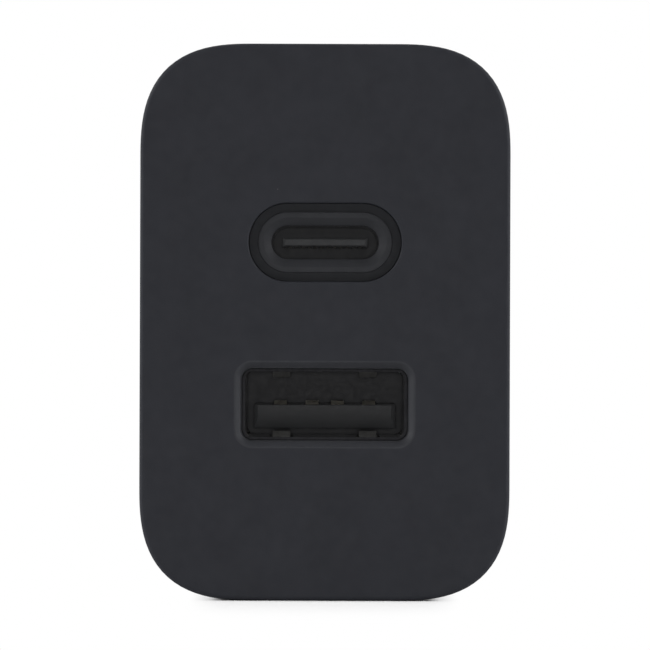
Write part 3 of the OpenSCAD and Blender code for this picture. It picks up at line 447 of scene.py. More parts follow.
@cache
def wire_turns():
    """Tree that winds two groups of turns round a ring that lies across Y."""
    tree = Tree("wire_turns", {
        "Turns": "Int", "Spread": "Float", "Ring radius": "Float", "Middle": "Vector",
    })
    turns = tree.given("Turns")
    points = tree.node("Points", {"Count": turns * 2.0})
    index = tree.node("InputIndex", {}, "Index")
    side = tree.math("FLOOR", index / turns)
    turn = index - side * turns
    start = side * math.pi + math.pi / 2 - tree.given("Spread") / 2.0
    angle = start + tree.given("Spread") * (turn / (turns - 1.0))
    radius = tree.given("Ring radius")
    x = tree.math("COSINE", angle) * radius
    z = tree.math("SINE", angle) * radius
    placed = tree.node("SetPosition", {
        "Geometry": points, "Position": tree.vector(x, 0.0, z),
    })
    rings = tree.node("InstanceOnPoints", {
        "Points": placed, "Instance": tree.given("Geometry"),
        "Rotation": tree.vector(0.0, angle * -1.0, 0.0),
    }, "Instances")
    return tree.close(tree.node("Transform", {
        "Geometry": rings, "Translation": tree.given("Middle"),
    }))


# Making pieces

def new_piece(name, mesh):
    piece = bpy.data.objects.new(name, mesh)
    bpy.context.scene.collection.objects.link(piece)
    return piece


def settle(piece):
    """Makes what the modifiers show the piece's own mesh."""
    graph = bpy.context.evaluated_depsgraph_get()
    mesh = bpy.data.meshes.new_from_object(piece.evaluated_get(graph), depsgraph=graph)
    piece.modifiers.clear()
    piece.data = mesh
    return piece


def grow(name, tree, mesh, values):
    """Piece that a node tree makes from a starting mesh."""
    piece = new_piece(name, mesh)
    form = piece.modifiers.new("Form", "NODES")
    form.node_group = tree.group
    for label, value in values.items():
        form[tree.identifiers[label]] = value
    return settle(piece)


def grow_tube(name, profile, width, height, corner, power, steps, level, finish):
    """Piece that follows a profile of [inset, depth] points round an outline."""
    mesh = bpy.data.meshes.new(name)
    mesh.from_pydata([(inset, depth, 0.0) for inset, depth in profile], [], [])
    return grow(name, rounded_tube(), mesh, {
        "Width": width, "Height": height, "Corner": corner, "Squareness": power,
        "Steps": steps, "Level": level, "Material": surface(finish),
    })


def arc(centre, radius, start, end, steps=8):
    """Points along an arc between two angles in degrees."""
    angles = [math.radians(start + (end - start) * i / steps) for i in range(steps + 1)]
    return [(centre[0] + radius * math.cos(a), centre[1] + radius * math.sin(a)) for a in angles]


def eased(points, reach):
    """Profile whose inner corners are rounded over a reach along both sides."""
    made = [points[0]]
    for before, here, after in zip(points, points[1:], points[2:]):
        corner = Vector(here)
        start, end = (corner + (Vector(p) - corner).normalized() * reach for p in (before, after))
        made += [tuple(p) for p in (start, start * 0.25 + corner * 0.5 + end * 0.25, end)]
    return made + [points[-1]]


def smooth(mesh):
    """Smooth shading, with sharp edges kept."""
    mesh.polygons.foreach_set("use_smooth", [True] * len(mesh.polygons))
    mesh.set_sharp_from_angle(angle=SMOOTH_BELOW)


def dress(mesh, surfaces):
    """Gives a mesh its surfaces, in place of those it has."""
    mesh.materials.clear()
    for name in surfaces:
        mesh.materials.append(surface(name))


def store(bm, mesh, *surfaces):
    """Writes an edited mesh back with its surfaces."""
    dress(mesh, surfaces)
    bm.to_mesh(mesh)
    bm.free()
    smooth(mesh)


def add_box(bm, low, high):
    """Adds a closed box between two corners."""
    low = Vector(low)
    high = Vector(high)
    place = Matrix.Translation((low + high) / 2) @ Matrix.Diagonal((*(high - low), 1.0))
    return bmesh.ops.create_cube(bm, size=1.0, matrix=place)["verts"]


def hand_over(piece, *nodes):
    """Lets a piece stand for nodes, on their body."""
    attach(piece, BODY_OF[nodes[0]])
    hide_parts(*nodes)


def blunt(bm, run, above, below, lift, rise):
    """Shapes a tongue's nose: its runs over and under the tip, and lifts of the tip's edges."""
    front = min(vert.co.y for vert in bm.verts)
    tip = [vert for vert in bm.verts if vert.co.y - front < TINY]
    level = sum(vert.co.z for vert in tip) / len(tip)
    for vert in bm.verts:
        if abs(vert.co.y - front - run) < TINY:
            vert.co.y = front + (above if vert.co.z > level else below)
    for vert in tip:
        vert.co.z += lift if vert.co.z > level else rise


def swell(bm, start, gap):
    """Draws out the block that floors a port behind its tongue, with crisp edges at the shell."""
    tongue = [vert.co for vert in bm.verts if vert.co.y < start - TINY]
    low, high = ([find(place[axis] for place in tongue) for axis in (0, 2)] for find in (min, max))
    moved = set()
    bm.normal_update()
    for vert in bm.verts:
        place = (vert.co.x, vert.co.z)
        if vert.co.y > start - TINY and any(
            not a - TINY < here < b + TINY for here, a, b in zip(place, low, high)
        ):
            vert.co += Vector((vert.normal.x, 0.0, vert.normal.z)).normalized() * gap
            moved.add(vert)
    weight = bm.edges.layers.float.new("bevel_weight_edge")
    for edge in bm.edges:
        crisp = moved.issuperset(edge.verts) or edge.calc_face_angle(0.0) < SOFTEN_ABOVE
        edge[weight] = 0.0 if crisp else 1.0


def finished(node, *surfaces, edge, nose=None, well=None):
    """Piece that is a node's own shape with softened edges, its edge in millimetres."""
    name = node + "_finished"
    mesh = bpy.data.meshes.new(name)
    bm = bmesh.new()
    bm.from_mesh(frame["nodes"][node].data)
    bmesh.ops.remove_doubles(bm, verts=bm.verts, dist=TINY)
    bmesh.ops.dissolve_limit(bm, angle_limit=FLAT_BELOW, verts=bm.verts, edges=bm.edges)
    if nose:
        blunt(bm, *nose)
        swell(bm, *well)
    bm.to_mesh(mesh)
    bm.free()
    piece = new_piece(name, mesh)
    soften = piece.modifiers.new("Soft edges", "BEVEL")
    soften.width = edge * MM
    soften.segments = SOFTEN_STEPS
    soften.limit_method = "WEIGHT" if well else "ANGLE"
    soften.angle_limit = SOFTEN_ABOVE
    settle(piece)
    smooth(piece.data)
    flatten = piece.modifiers.new("Flat faces", "WEIGHTED_NORMAL")
    flatten.keep_sharp = True
    settle(piece)
    dress(piece.data, surfaces)
    hand_over(piece, node)
    return piece


def fit_tongue(port, edge, nose, depth):
    """Finishes a port's tongue, with its second surface on the flanks in front of its well."""
    node = port + "_tongue"
    start = corners(port + "_shell")[0].y + depth
    well = (start, bpy.context.scene.charger.ports.well_gap)
    piece = finished(node, node + "_plastic", "flank_plastic", edge=edge, nose=nose, well=well)
    for face in piece.data.polygons:
        if face.center.y < start and abs(face.normal.y) < FLANK_TURN:
            face.material_index = 1


def fit_shell(node, edge, sheet=None):
    """Finishes a shell: the second surface, painted shade, is on its front edge, the third,
    painted shade too, on what faces the front or lies inside.
    """
    piece = finished(node, *SHELL_SURFACES, edge=edge)
    low, high = corners(node)
    inside = (sheet or 0.0) + SHELL_GAP
    for face in piece.data.polygons:
        place = face.center
        if place.y < low.y + SHELL_EDGE:
            face.material_index = 1
        # The third surface is painted shade: a dark copy of the nickel on faces that look to the
        # front and, in a shell with a sheet, on what lies inside it
        elif face.normal.y < -FRONT_TURN or sheet and all(
            low[axis] + inside < place[axis] < high[axis] - inside for axis in (0, 2)
        ):
            face.material_index = 2


# Finishes

def colour_of(value):
    """Colour given as numbers, or as the name of a colour in the settings."""
    return getattr(bpy.context.scene.charger.finishes, value) if isinstance(value, str) else value


def shader_node(tree, kind, feeds, **settings):
    """New node of a shader tree, whose inputs are fed by name or by number."""
    made = tree.nodes.new("ShaderNode" + kind)
    for key, value in settings.items():
        setattr(made, key, value)
    for label, value in feeds.items():
        if isinstance(value, bpy.types.NodeSocket):
            tree.links.new(value, made.inputs[label])
        else:
            made.inputs[label].default_value = value
    return made


class Finish:
    """Procedural surface, with its patterns in object coordinates."""

    def __init__(
        self, name, colour, roughness, metallic, specular, mottle, wear=None, grain=None, more=None
    ):
        self.material = bpy.data.materials.new(name)
        self.material.use_nodes = True
        self.tree = self.material.node_tree
        self.colour = Vector(colour_of(colour))
        self.roughness = roughness
        self.shader = self.tree.nodes["Principled BSDF"].inputs
        for label, value in (
            ("Base Color", (*self.colour, 1.0)), ("Roughness", roughness),
            ("Metallic", metallic), ("Specular IOR Level", specular),
        ):
            self.shader[label].default_value = value
        self.tone = None
        self.place = self.node("TexCoord", {}).outputs["Object"]
        self.mottle(*mottle)
        if more:
            getattr(self, more[0])(*more[1:])
        if wear:
            self.wear(*wear)
        if grain:
            self.grain(*grain)

    def node(self, kind, feeds, **settings):
        return shader_node(self.tree, kind, feeds, **settings)

    def noise(self, size, stretch):
        """Noise whose features are about as large as the size, in millimetres."""
        mapped = self.node("Mapping", {"Vector": self.place, "Scale": stretch})
        return self.node("TexNoise", {
            "Vector": mapped.outputs[0], "Scale": 1.0 / (size * MM), "Detail": NOISE_DETAIL,
        }).outputs["Fac"]

    def spread(self, value, low, high):
        """Value from the middle of a noise, stretched between two limits."""
        return self.node("MapRange", {
            "Value": value, "From Min": NOISE_LOW, "From Max": NOISE_HIGH,
            "To Min": low, "To Max": high,
        }).outputs[0]

    def paint(self, factor, *colours):
        """Base colour between two colours, each a colour or the tone so far."""
        feeds = {0: factor}
        for number, colour in zip(MIX_COLOURS, colours):
            mixed = isinstance(colour, bpy.types.NodeSocket)
            feeds[number] = colour if mixed else (*colour_of(colour), 1.0)
        self.tone = self.node("Mix", feeds, data_type="RGBA").outputs[MIX_RESULT]
        self.tree.links.new(self.tone, self.shader["Base Color"])

    def mottle(self, size, share, stretch=EVEN):
        """Light and dark patches of the base colour."""
        factor = self.spread(self.noise(size, stretch), 0.0, 1.0)
        self.paint(factor, self.colour * (1.0 - share), self.colour * (1.0 + share))

    def cells(self, size, **settings):
        """Distance to the middle of a cell, and a number that differs from cell to cell."""
        made = self.node("TexVoronoi", {
            "Vector": self.place, "Scale": 1.0 / (size * MM),
        }, **settings).outputs
        red = self.node("SeparateColor", {0: made["Color"]}).outputs[0]
        return made["Distance"], red

    def below(self, value, limit):
        return self.node("Math", {0: value, 1: limit}, operation="LESS_THAN").outputs[0]

    def tiles(self, size, share, colour):
        """Straight-edged patches of a second colour, on a share of the surface."""
        _, red = self.cells(size, distance="CHEBYCHEV")
        self.paint(self.below(red, share), self.tone, colour)

    def specks(self, spacing, size, share, colour):
        """Sparse dots: their spacing and size in millimetres, and the share of places taken."""
        away, red = self.cells(spacing)
        mask = self.node("Math", {
            0: self.below(away, size / spacing), 1: self.below(red, share),
        }, operation="MULTIPLY").outputs[0]
        self.paint(mask, self.tone, colour)

    def fade(self, first, start, end):
        """First colour up to one depth along Y, fading out to a second depth."""
        depth = self.node("SeparateXYZ", {0: self.place}).outputs["Y"]
        factor = self.node("MapRange", {
            "Value": depth, "From Min": start, "From Max": end,
        }).outputs[0]
        self.paint(factor, first, self.tone)

    def wear(self, size, spread, stretch=EVEN):
        """Roughness that varies about its middle."""
        limits = (self.roughness - spread, self.roughness + spread)
        value = self.spread(self.noise(size, stretch), *limits)
        self.tree.links.new(value, self.shader["Roughness"])

    def grain(self, size, depth, stretch=EVEN):
        """Fine relief, its size and depth in millimetres."""
        bump = self.node("Bump", {
            "Height": self.noise(size, stretch), "Distance": depth * MM, "Strength": 1.0,
        }).outputs[0]
        self.tree.links.new(bump, self.shader["Normal"])


def painted_tip_fade(node, colour):
    """Painted light and shade: gives a tongue's tip a tone of its own against the lightened well
    colour of the rest of the moulding.
    """
    front, back = (corner.y for corner in corners(node))
    return "fade", colour, front + TIP_DEPTH, (front + back) / 2


# Each surface's colour, roughness, metallic, specular, mottle, wear, grain and one more pattern,
# with the values that the pattern's function takes
# Tongues in the well colour, lightened as painted light, with a painted tip
TONGUE = ("well", 0.6, 0.0, 0.15, (0.8, 0.1), (0.4, 0.06), (0.08, 0.002))
SURFACES = {
    "charcoal_plastic": ("plastic", 0.68, 0.0, 0.12, (2.5, 0.06), (0.8, 0.05), (0.16, 0.004),
                         ("specks", 1.9, 0.035, 0.05, "speck")),
    "cut_plastic": ("cut", 0.6, 0.0, 0.15, (1.5, 0.06), (0.5, 0.05), (0.1, 0.002)),
    "collar_plastic": ("collar", 0.62, 0.0, 0.12, (1.5, 0.06), (0.5, 0.05), (0.1, 0.002)),
    "usb_c_tongue_plastic": (*TONGUE, painted_tip_fade("usb_c_tongue", "small_tongue")),
    "usb_a_tongue_plastic": (*TONGUE, painted_tip_fade("usb_a_tongue", "large_tongue")),
    "flank_plastic": ("well", 0.15, 0.0, 0.5, (0.8, 0.1), (0.4, 0.04)),
    "shell_nickel": ("shell", 0.08, 1.0, 0.5, (0.9, 0.12), (0.5, 0.03)),
    # Painted shade: dark copies of the shells' nickel on their front edges and leaves
    "sheared_edge": ("sheared", 0.75, 1.0, 0.5, (0.3, 0.15), (0.2, 0.06)),
    "leaf_steel": ("leaf", 0.8, 1.0, 0.5, (0.5, 0.1), (0.3, 0.08)),
    "contact_gold": ("contact", 0.42, 1.0, 0.5, (0.5, 0.1), (0.3, 0.08)),
    "blade_nickel": ("blade", 0.3, 1.0, 0.5, (0.35, 0.05, ALONG_Z), (0.25, 0.05, ALONG_Z),
                     (0.12, 0.0003, ALONG_Z)),
    "cap_plastic": ((0.02, 0.02, 0.022), 0.5, 0.0, 0.4, (1.5, 0.1), (0.6, 0.06), (0.2, 0.003)),
    "screw_zinc": ((0.45, 0.45, 0.46), 0.38, 1.0, 0.5, (0.4, 0.12), (0.3, 0.08), (0.15, 0.002)),
    "spring_bronze": ((0.62, 0.42, 0.20), 0.34, 1.0, 0.5, (0.8, 0.12), (0.4, 0.08),
                      (0.1, 0.001, (1.0, 1.0, 0.1))),
    "insulating_paper": ((0.60, 0.53, 0.37), 0.75, 0.0, 0.3, (1.2, 0.08), (0.8, 0.05),
                         (0.15, 0.006, (1.0, 1.0, 0.3))),
    "board_mask": ((0.012, 0.095, 0.042), 0.36, 0.0, 0.5, (1.0, 0.1), (0.7, 0.06), (0.5, 0.006),
                   ("tiles", 2.6, 0.5, (0.015, 0.107, 0.048))),
    "ferrite_grey": ((0.045, 0.045, 0.05), 0.6, 0.0, 0.5, (0.5, 0.15), None, (0.2, 0.01),
                     ("specks", 0.5, 0.05, 0.2, (0.09, 0.09, 0.1))),
    "winding_tape": ((0.62, 0.42, 0.06), 0.3, 0.0, 0.5, (1.5, 0.1), (0.8, 0.06),
                     (0.6, 0.012, (0.4, 4.0, 0.4))),
    "enamelled_copper": ((0.50, 0.18, 0.065), 0.3, 1.0, 0.5, (0.6, 0.12), (0.4, 0.08)),
    "tinned_metal": ((0.58, 0.58, 0.57), 0.36, 1.0, 0.5, (0.5, 0.1), (0.3, 0.1), (0.3, 0.006)),
    "capacitor_sleeve": ((0.018, 0.02, 0.028), 0.3, 0.0, 0.5, (1.5, 0.12), (1.0, 0.06),
                         (0.5, 0.006)),
    "capacitor_can": ((0.70, 0.70, 0.71), 0.3, 1.0, 0.5, (0.5, 0.06), (0.4, 0.06),
                      (0.1, 0.001, (1.0, 0.1, 1.0))),
    "film_case": ((0.55, 0.36, 0.05), 0.34, 0.0, 0.5, (1.5, 0.08), (1.0, 0.06), (0.4, 0.006)),
    "disc_coating": ((0.03, 0.12, 0.36), 0.4, 0.0, 0.5, (0.8, 0.1), (0.6, 0.08), (0.5, 0.02)),
    "fuse_ceramic": ((0.62, 0.62, 0.58), 0.45, 0.0, 0.5, (0.8, 0.06), (0.6, 0.06), (0.2, 0.006)),
    "chip_resin": ((0.012, 0.012, 0.013), 0.55, 0.0, 0.4, (0.4, 0.15), (0.4, 0.06),
                   (0.12, 0.006)),
}

# A shell's sheet, its front edge and the leaves inside it; the last two are dark copies of its
# nickel, painted shade
SHELL_SURFACES = ("shell_nickel", "sheared_edge", "leaf_steel")


@cache
def surface(name):
    """Material of a surface in the table."""
    return Finish(name, *SURFACES[name]).material


# Operators

def close_plane(bm, depth):
    """Fills the flat between all open rims that lie at a depth."""
    rims = [edge for edge in bm.edges if edge.is_boundary and all(
        abs(vert.co.y - depth) < TINY for vert in edge.verts
    )]
    bmesh.ops.triangle_fill(bm, use_beauty=True, edges=rims)


def rim_profile(depth, back, radius, way):
    """Profile of a wall from a rounded front rim to its back, turning in (1) or out (-1)."""
    turn = arc((radius, depth + radius), radius, 270, 180)
    front = [(radius + EASE, depth), *turn]
    return [(way * inset, y) for inset, y in front] + [(0.0, back)]


class CHARGER_OT_front_housing(Operator):
    """Build the front housing with its two port openings"""

    bl_idname = "charger.front_housing"
    bl_label = "Front Housing"

    def execute(self, context):
        housing = context.scene.charger.housing
        ports = context.scene.charger.ports
        size = HOUSING_HIGH - HOUSING_LOW
        front = HOUSING_LOW.y
        inner = front + housing.face
        split = HOUSING_HIGH.y
        finish = "charcoal_plastic"
        wall = rim_profile(front, split - housing.parting - EASE, housing.rim, 1) + [
            (0.0, split - housing.parting), (housing.parting, split), (housing.wall, split),
            (housing.wall, inner), (housing.wall + EASE, inner),
        ]
        walls = [grow_tube(
            "front_housing_shell", wall, size.x, size.z, housing.corner, housing.squareness,
            housing.steps, HOUSING_MIDDLE.z, finish,
        )]
        recess_rim = rim_profile(front, inner, ports.recess_rim, -1) + [(-EASE, inner)]
        slot_rim = eased([
            (-ports.slot_chamfer - 2 * ports.edge, front), (-ports.slot_chamfer, front),
            (0.0, front + ports.slot_fall), (0.0, front + ports.slot_stop),
        ], ports.edge) + [
            (ports.slot_step, front + ports.slot_stop), (ports.slot_step, inner),
            (ports.slot_step - EASE, inner),
        ]
        openings = (
            (recess_rim, ports.recess_width, ports.recess_height,
             ports.recess_height / 2 - END_FLAT, PORT_C.z),
            (slot_rim, ports.slot_width, ports.slot_height, ports.slot_corner, PORT_A.z),
        )
        for profile, width, height, corner, level in openings:
            walls.append(grow_tube(
                "opening", profile, width, height, corner, ARC_POWER, OPENING_STEPS, level, finish,
            ))
        bm = bmesh.new()
        # The large port's cut-out takes the second surface, its painted highlight
        for piece, number in zip(walls, (0, 0, 1)):
            known = set(bm.faces)
            bm.from_mesh(piece.data)
            for face in set(bm.faces) - known:
                face.material_index = number
        for depth in (front, inner):
            close_plane(bm, depth)
        bmesh.ops.recalc_face_normals(bm, faces=bm.faces)
        self.add_ledges(bm, housing, inner)
        store(bm, walls[0].data, finish, "cut_plastic")
        for opening in walls[1:]:
            bpy.data.objects.remove(opening)
        hand_over(walls[0], "front_housing")
        return {"FINISHED"}

    @staticmethod
    def add_ledges(bm, housing, inner):
        """Adds the ledges that the two boards stop against."""
        bury = 0.5 * MM
        aside = 4.5 * MM
        half = housing.ledge / 2
        port_board = corners("port_board")
        main_front = corners("main_board")[0].y
        side_x = HOUSING_HIGH.x - housing.wall
        side_z = (port_board[1].z - port_board[0].z) / 2 - 2 * housing.ledge
        top = HOUSING_HIGH.z - housing.wall
        for way in (-1, 1):
            for z in (HOUSING_MIDDLE.z - side_z, HOUSING_MIDDLE.z + side_z):
                x = sorted((way * (side_x - housing.ledge), way * (side_x + bury)))
                add_box(bm, (x[0], inner - bury, z - half), (x[1], port_board[0].y, z + half))
            middle_x = way * aside
            for z in (housing.wall - bury, top - housing.ledge):
                add_box(
                    bm, (middle_x - half, inner - bury, z),
                    (middle_x + half, main_front, z + housing.ledge + bury),
                )


class CHARGER_OT_rear_cover(Operator):
    """Build the rear cover, the bearing cap, its screws and the insulation sheet"""

    bl_idname = "charger.rear_cover"
    bl_label = "Rear Cover"

    def execute(self, context):
        edge = context.scene.charger.housing.cover_edge / MM
        finished("rear_cover", "charcoal_plastic", edge=edge)
        finished("bearing_cap", "cap_plastic", edge=0.1)
        finished("bearing_cap_screws", "screw_zinc", edge=0.06)
        finished("insulation_sheet", "insulating_paper", edge=0.03)
        return {"FINISHED"}


class CHARGER_OT_small_port(Operator):
    """Build the small port: its collar, shell, tongue and contacts"""

    bl_idname = "charger.small_port"
    bl_label = "Small Port"

    def execute(self, context):
        ports = context.scene.charger.ports
        housing = context.scene.charger.housing
        hand_over(self.collar(ports, housing), "usb_c_collar")
        fit_shell("usb_c_shell", edge=0.06)
        nose = (ports.small_nose, ports.small_blunt, ports.small_under, ports.small_lift, 0.0)
        fit_tongue("usb_c", edge=0.02, nose=nose, depth=ports.small_well)
        hand_over(self.contacts(ports), "usb_c_contacts")
        return {"FINISHED"}

    @staticmethod
    def collar(ports, housing):
        finish = "collar_plastic"
        face = HOUSING_LOW.y
        front = face + ports.collar_set
        groove = face + ports.groove
        flange = face + housing.face
        flange_back = flange + ports.flange_thickness
        back = corners("usb_c_collar")[1].y
        lip = front + ports.lead_fall
        lip_back = front + ports.lead_in + ports.lip_thickness
        start = ((ports.lip - ports.lead_in) / 2, front)
        profile = eased([
            start, (0.0, front), (0.0, groove), (-ports.shoulder, groove),
            (-ports.shoulder, flange), (-ports.flange, flange), (-ports.flange, flange_back),
            (0.0, flange_back), (0.0, back), (ports.collar_wall, back),
            (ports.collar_wall, lip_back), (ports.lip, lip_back), (ports.lip, lip),
            (ports.lip - ports.lead_in, front), start,
        ], ports.edge)
        piece = grow_tube(
            "usb_c_collar_ring", profile, ports.collar_width, ports.collar_height,
            ports.collar_height / 2 - END_FLAT, ARC_POWER, OPENING_STEPS, PORT_C.z, finish,
        )
        bm = bmesh.new()
        bm.from_mesh(piece.data)
        bmesh.ops.recalc_face_normals(bm, faces=bm.faces)
        store(bm, piece.data, finish)
        return piece

    @staticmethod
    def contacts(ports):
        low, high = corners("usb_c_contacts")
        half = ports.contact_width / 2
        top = high.z - PORT_C.z
        mesh = bpy.data.meshes.new("usb_c_contact")
        bm = bmesh.new()
        verts = add_box(bm, (-half, low.y, top - CONTACT_SHEET), (half, high.y, top))
        edges = {edge for vert in verts for edge in vert.link_edges}
        bmesh.ops.bevel(bm, geom=list(edges), offset=CONTACT_EDGE, segments=1, affect="EDGES")
        bm.to_mesh(mesh)
        bm.free()
        piece = grow("usb_c_contact_rows", contact_rows(), mesh, {
            "Count": ports.contact_count, "Pitch": ports.contact_pitch, "Level": PORT_C.z,
            "Material": surface("contact_gold"),
        })
        smooth(piece.data)
        return piece


class CHARGER_OT_large_port(Operator):
    """Build the large port: its shell with spring leaves, tongue and contacts"""

    bl_idname = "charger.large_port"
    bl_label = "Large Port"

    def execute(self, context):
        ports = context.scene.charger.ports
        fit_shell("usb_a_shell", edge=0.05, sheet=ports.shell_wall)
        nose = (ports.large_nose, ports.large_blunt, ports.large_under, ports.large_lift,
                ports.large_rise)
        fit_tongue("usb_a", edge=0.05, nose=nose, depth=ports.large_well)
        finished("usb_a_contacts", "contact_gold", edge=0.03)
        return {"FINISHED"}


class CHARGER_OT_folding_plug(Operator):
    """Build the rotor, the two blades and the springs that touch them"""

    bl_idname = "charger.folding_plug"
    bl_label = "Folding Plug"

    def execute(self, context):
        finished("blade_rotor", "charcoal_plastic", edge=0.15)
        for side in ("left", "right"):
            finished("blade_" + side, "blade_nickel", edge=0.12)
            finished("contact_spring_" + side, "spring_bronze", edge=0.03)
        return {"FINISHED"}


class CHARGER_OT_boards(Operator):
    """Build the two circuit boards and the pins between them"""

    bl_idname = "charger.boards"
    bl_label = "Boards"

    def execute(self, context):
        finished("port_board", "board_mask", edge=0.04)
        finished("main_board", "board_mask", edge=0.04)
        finished("board_link_pins", "tinned_metal", edge=0.04)
        return {"FINISHED"}


class CHARGER_OT_transformer(Operator):
    """Build the transformer and the choke"""

    bl_idname = "charger.transformer"
    bl_label = "Transformer"

    def execute(self, context):
        for half in ("front", "rear"):
            finished("transformer_core_" + half, "ferrite_grey", edge=0.12)
        finished("transformer_bobbin", "cap_plastic", edge=0.08)
        finished("transformer_winding", "winding_tape", edge=0.1)
        finished("transformer_pins", "tinned_metal", edge=0.05)
        finished("choke_core", "ferrite_grey", edge=0.2)
        hand_over(self.choke(context.scene.charger.winding), "choke_winding")
        return {"FINISHED"}

    @staticmethod
    def choke(winding):
        core_low, core_high = corners("choke_core")
        low, high = corners("choke_winding")
        centre = middle("choke_core")
        wall = core_low.y - low.y
        outer = (core_high.x - core_low.x) / 2
        bore = outer / 2
        ring = (outer + bore) / 2
        finish = "enamelled_copper"
        turn = grow_tube(
            "choke_turn", arc((0.0, 0.0), winding.wire, 0, 360, WIRE_STEPS), outer - bore + wall,
            core_high.y - core_low.y + wall, winding.bend, ARC_POWER, BEND_STEPS, 0.0, finish,
        )
        turn.data.transform(UPRIGHT)
        piece = grow("choke_winding_turns", wire_turns(), turn.data, {
            "Turns": winding.turns, "Spread": math.radians(winding.spread), "Ring radius": ring,
            "Middle": centre, "Material": surface(finish),
        })
        bpy.data.objects.remove(turn)
        bm = bmesh.new()
        bm.from_mesh(piece.data)
        start = core_high.y + wall / 4
        for degrees in LEAD_ANGLES:
            angle = math.radians(degrees)
            aside = Vector((math.cos(angle), 0.0, math.sin(angle))) * ring
            place = Vector((centre.x, (start + high.y) / 2, centre.z)) + aside
            bmesh.ops.create_cone(
                bm, cap_ends=True, segments=LEAD_STEPS, radius1=winding.lead,
                radius2=winding.lead, depth=high.y - start,
                matrix=Matrix.Translation(place) @ UPRIGHT,
            )
        bmesh.ops.recalc_face_normals(bm, faces=bm.faces)
        store(bm, piece.data, finish)
        return piece


class CHARGER_OT_components(Operator):
    """Build the capacitors, the fuse and the packages on the boards"""

    bl_idname = "charger.components"
    bl_label = "Components"

    def execute(self, context):
        for place in ("upper", "lower"):
            finished("bulk_capacitor_" + place, "capacitor_sleeve", edge=0.15)
        for side in ("left", "right"):
            finished("output_capacitor_" + side, "capacitor_can", edge=0.12)
        finished("line_filter_capacitor", "film_case", edge=0.2)
        finished("bridging_capacitor", "disc_coating", edge=0.25)
        finished("fuse", "fuse_ceramic", edge=0.1)
        for node in ("bridge_rectifier", "primary_controller", "optocoupler",
                     "port_controller", "sync_rectifier"):
            finished(node, "chip_resin", edge=0.05)
        return {"FINISHED"}


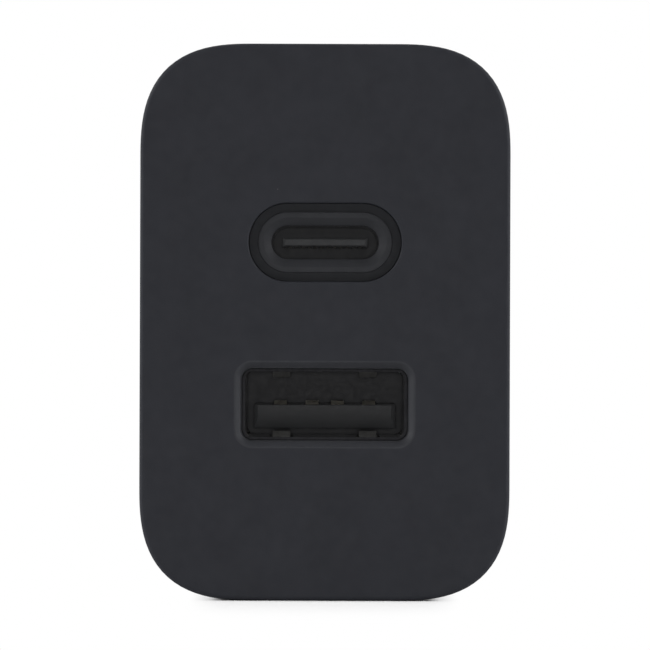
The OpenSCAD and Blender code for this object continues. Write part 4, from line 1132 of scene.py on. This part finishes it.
class CHARGER_OT_stage(Operator):
    """Set up the camera, the pale floor and the soft light"""

    bl_idname = "charger.stage"
    bl_label = "Stage"

    def execute(self, context):
        stage = context.scene.charger.stage
        context.scene.view_settings.view_transform = "Standard"
        self.camera(context, stage)
        self.floor(stage)
        self.world(context, stage)
        for name, place, size, power in LAMPS:
            self.lamp(name, place, size, getattr(stage, power))
        return {"FINISHED"}

    @staticmethod
    def camera(context, stage):
        data = bpy.data.cameras.new("camera")
        data.sensor_width = SENSOR_WIDTH
        data.lens = data.sensor_width * stage.distance / stage.view_width
        data.clip_start = CLIP_START
        camera = new_piece("camera", data)
        front = HOUSING_LOW.y - stage.distance
        place = Matrix.Translation((stage.aside, front, HOUSING_MIDDLE.z - stage.below))
        camera.matrix_world = place @ UPRIGHT @ Matrix.Rotation(stage.roll, 4, "Z")
        context.scene.camera = camera

    def floor(self, stage):
        square = ((-1, -1), (1, -1), (1, 1), (-1, 1))
        points = [(x * FLOOR_HALF, y * FLOOR_HALF, FLOOR_LEVEL) for x, y in square]
        mesh = bpy.data.meshes.new("floor")
        mesh.from_pydata(points, [], [range(len(points))])
        mesh.materials.append(self.pale_floor(stage))
        new_piece("floor", mesh)

    def pale_floor(self, stage):
        """White background where it is seen, with the shadow kept round the charger."""
        material = bpy.data.materials.new("pale_floor")
        material.use_nodes = True
        tree = material.node_tree
        tree.nodes.clear()
        plain, shaded = (
            shader_node(tree, "BsdfDiffuse", {"Color": (tone, tone, tone, 1.0)})
            for tone in (FLOOR_BOUNCE, stage.floor_tone)
        )
        white = shader_node(tree, "Emission", {})
        away = shader_node(tree, "TexCoord", {}).outputs["Object"]
        depth = (cad_box[1].y - cad_box[0].y) / 2
        for operation, value in (
            ("ABSOLUTE", None), ("SUBTRACT", (stage.shadow_half, depth, 0.0)),
            ("MAXIMUM", (0.0, 0.0, 0.0)), ("MULTIPLY", (stage.shadow_edge, 1.0, 0.0)),
        ):
            feeds = {0: away, 1: value} if value else {0: away}
            away = shader_node(tree, "VectorMath", feeds, operation=operation).outputs[0]
        reach = shader_node(tree, "VectorMath", {0: away}, operation="LENGTH")
        fade = shader_node(tree, "MapRange", {
            "Value": reach.outputs["Value"], "From Max": stage.shadow_reach,
        }, interpolation_type="SMOOTHSTEP")
        clear = shader_node(tree, "MixShader", {
            0: fade.outputs[0], 1: shaded.outputs[0], 2: white.outputs[0],
        })
        mix = shader_node(tree, "MixShader", {
            0: self.shown(tree), 1: plain.outputs[0], 2: clear.outputs[0],
        })
        shader_node(tree, "OutputMaterial", {"Surface": mix.outputs[0]})
        return material

    @staticmethod
    def shown(tree):
        """One for a ray that shows the background: from the camera, or off metal or glass."""
        path = shader_node(tree, "LightPath", {}).outputs
        total = path["Is Camera Ray"]
        for kind in ("Is Glossy Ray", "Is Transmission Ray"):
            feeds = {0: total, 1: path[kind]}
            total = shader_node(tree, "Math", feeds, operation="MAXIMUM").outputs[0]
        return total

    def world(self, context, stage):
        world = bpy.data.worlds.new("studio")
        world.use_nodes = True
        tree = world.node_tree
        strength = shader_node(tree, "MapRange", {
            "Value": self.shown(tree), "To Min": stage.ambient, "To Max": 1.0,
        })
        backdrop = tree.nodes["Background"].inputs
        backdrop["Color"].default_value = (1.0, 1.0, 1.0, 1.0)
        tree.links.new(strength.outputs[0], backdrop["Strength"])
        context.scene.world = world

    @staticmethod
    def lamp(name, place, size, power):
        data = bpy.data.lights.new(name, "AREA")
        data.shape = "RECTANGLE"
        data.size, data.size_y = size
        data.energy = power
        lamp = new_piece(name, data)
        aim = HOUSING_MIDDLE - Vector(place)
        turn = aim.to_track_quat("-Z", "Z").to_matrix().to_4x4()
        lamp.matrix_world = Matrix.Translation(place) @ turn


STEPS = (
    CHARGER_OT_stage, CHARGER_OT_front_housing, CHARGER_OT_rear_cover, CHARGER_OT_small_port,
    CHARGER_OT_large_port, CHARGER_OT_folding_plug, CHARGER_OT_boards, CHARGER_OT_transformer,
    CHARGER_OT_components,
)


class CHARGER_PT_sidebar(Panel):
    """Sidebar that lists the steps of the charger and its settings"""

    bl_idname = "CHARGER_PT_sidebar"
    bl_label = "USB Wall Charger"
    bl_space_type = "VIEW_3D"
    bl_region_type = "UI"
    bl_category = "Charger"

    def draw(self, context):
        charger = context.scene.charger
        for step in STEPS:
            self.layout.operator(step.bl_idname)
        for name in ChargerSettings.__annotations__:
            group = getattr(charger, name)
            box = self.layout.box()
            for label in group.__annotations__:
                box.prop(group, label)


CLASSES = (
    HousingSettings, PortSettings, WindingSettings, FinishSettings, StageSettings, ChargerSettings,
    *STEPS, CHARGER_PT_sidebar,
)


def register():
    for made in CLASSES:
        bpy.utils.register_class(made)
    bpy.types.Scene.charger = PointerProperty(type=ChargerSettings)


def unregister():
    del bpy.types.Scene.charger
    for made in reversed(CLASSES):
        bpy.utils.unregister_class(made)


def main():
    register()
    bpy.ops.charger.stage()
    bpy.ops.charger.front_housing()
    bpy.ops.charger.rear_cover()
    bpy.ops.charger.small_port()
    bpy.ops.charger.large_port()
    bpy.ops.charger.folding_plug()
    bpy.ops.charger.boards()
    bpy.ops.charger.transformer()
    bpy.ops.charger.components()


if __name__ == "__main__":
    main()
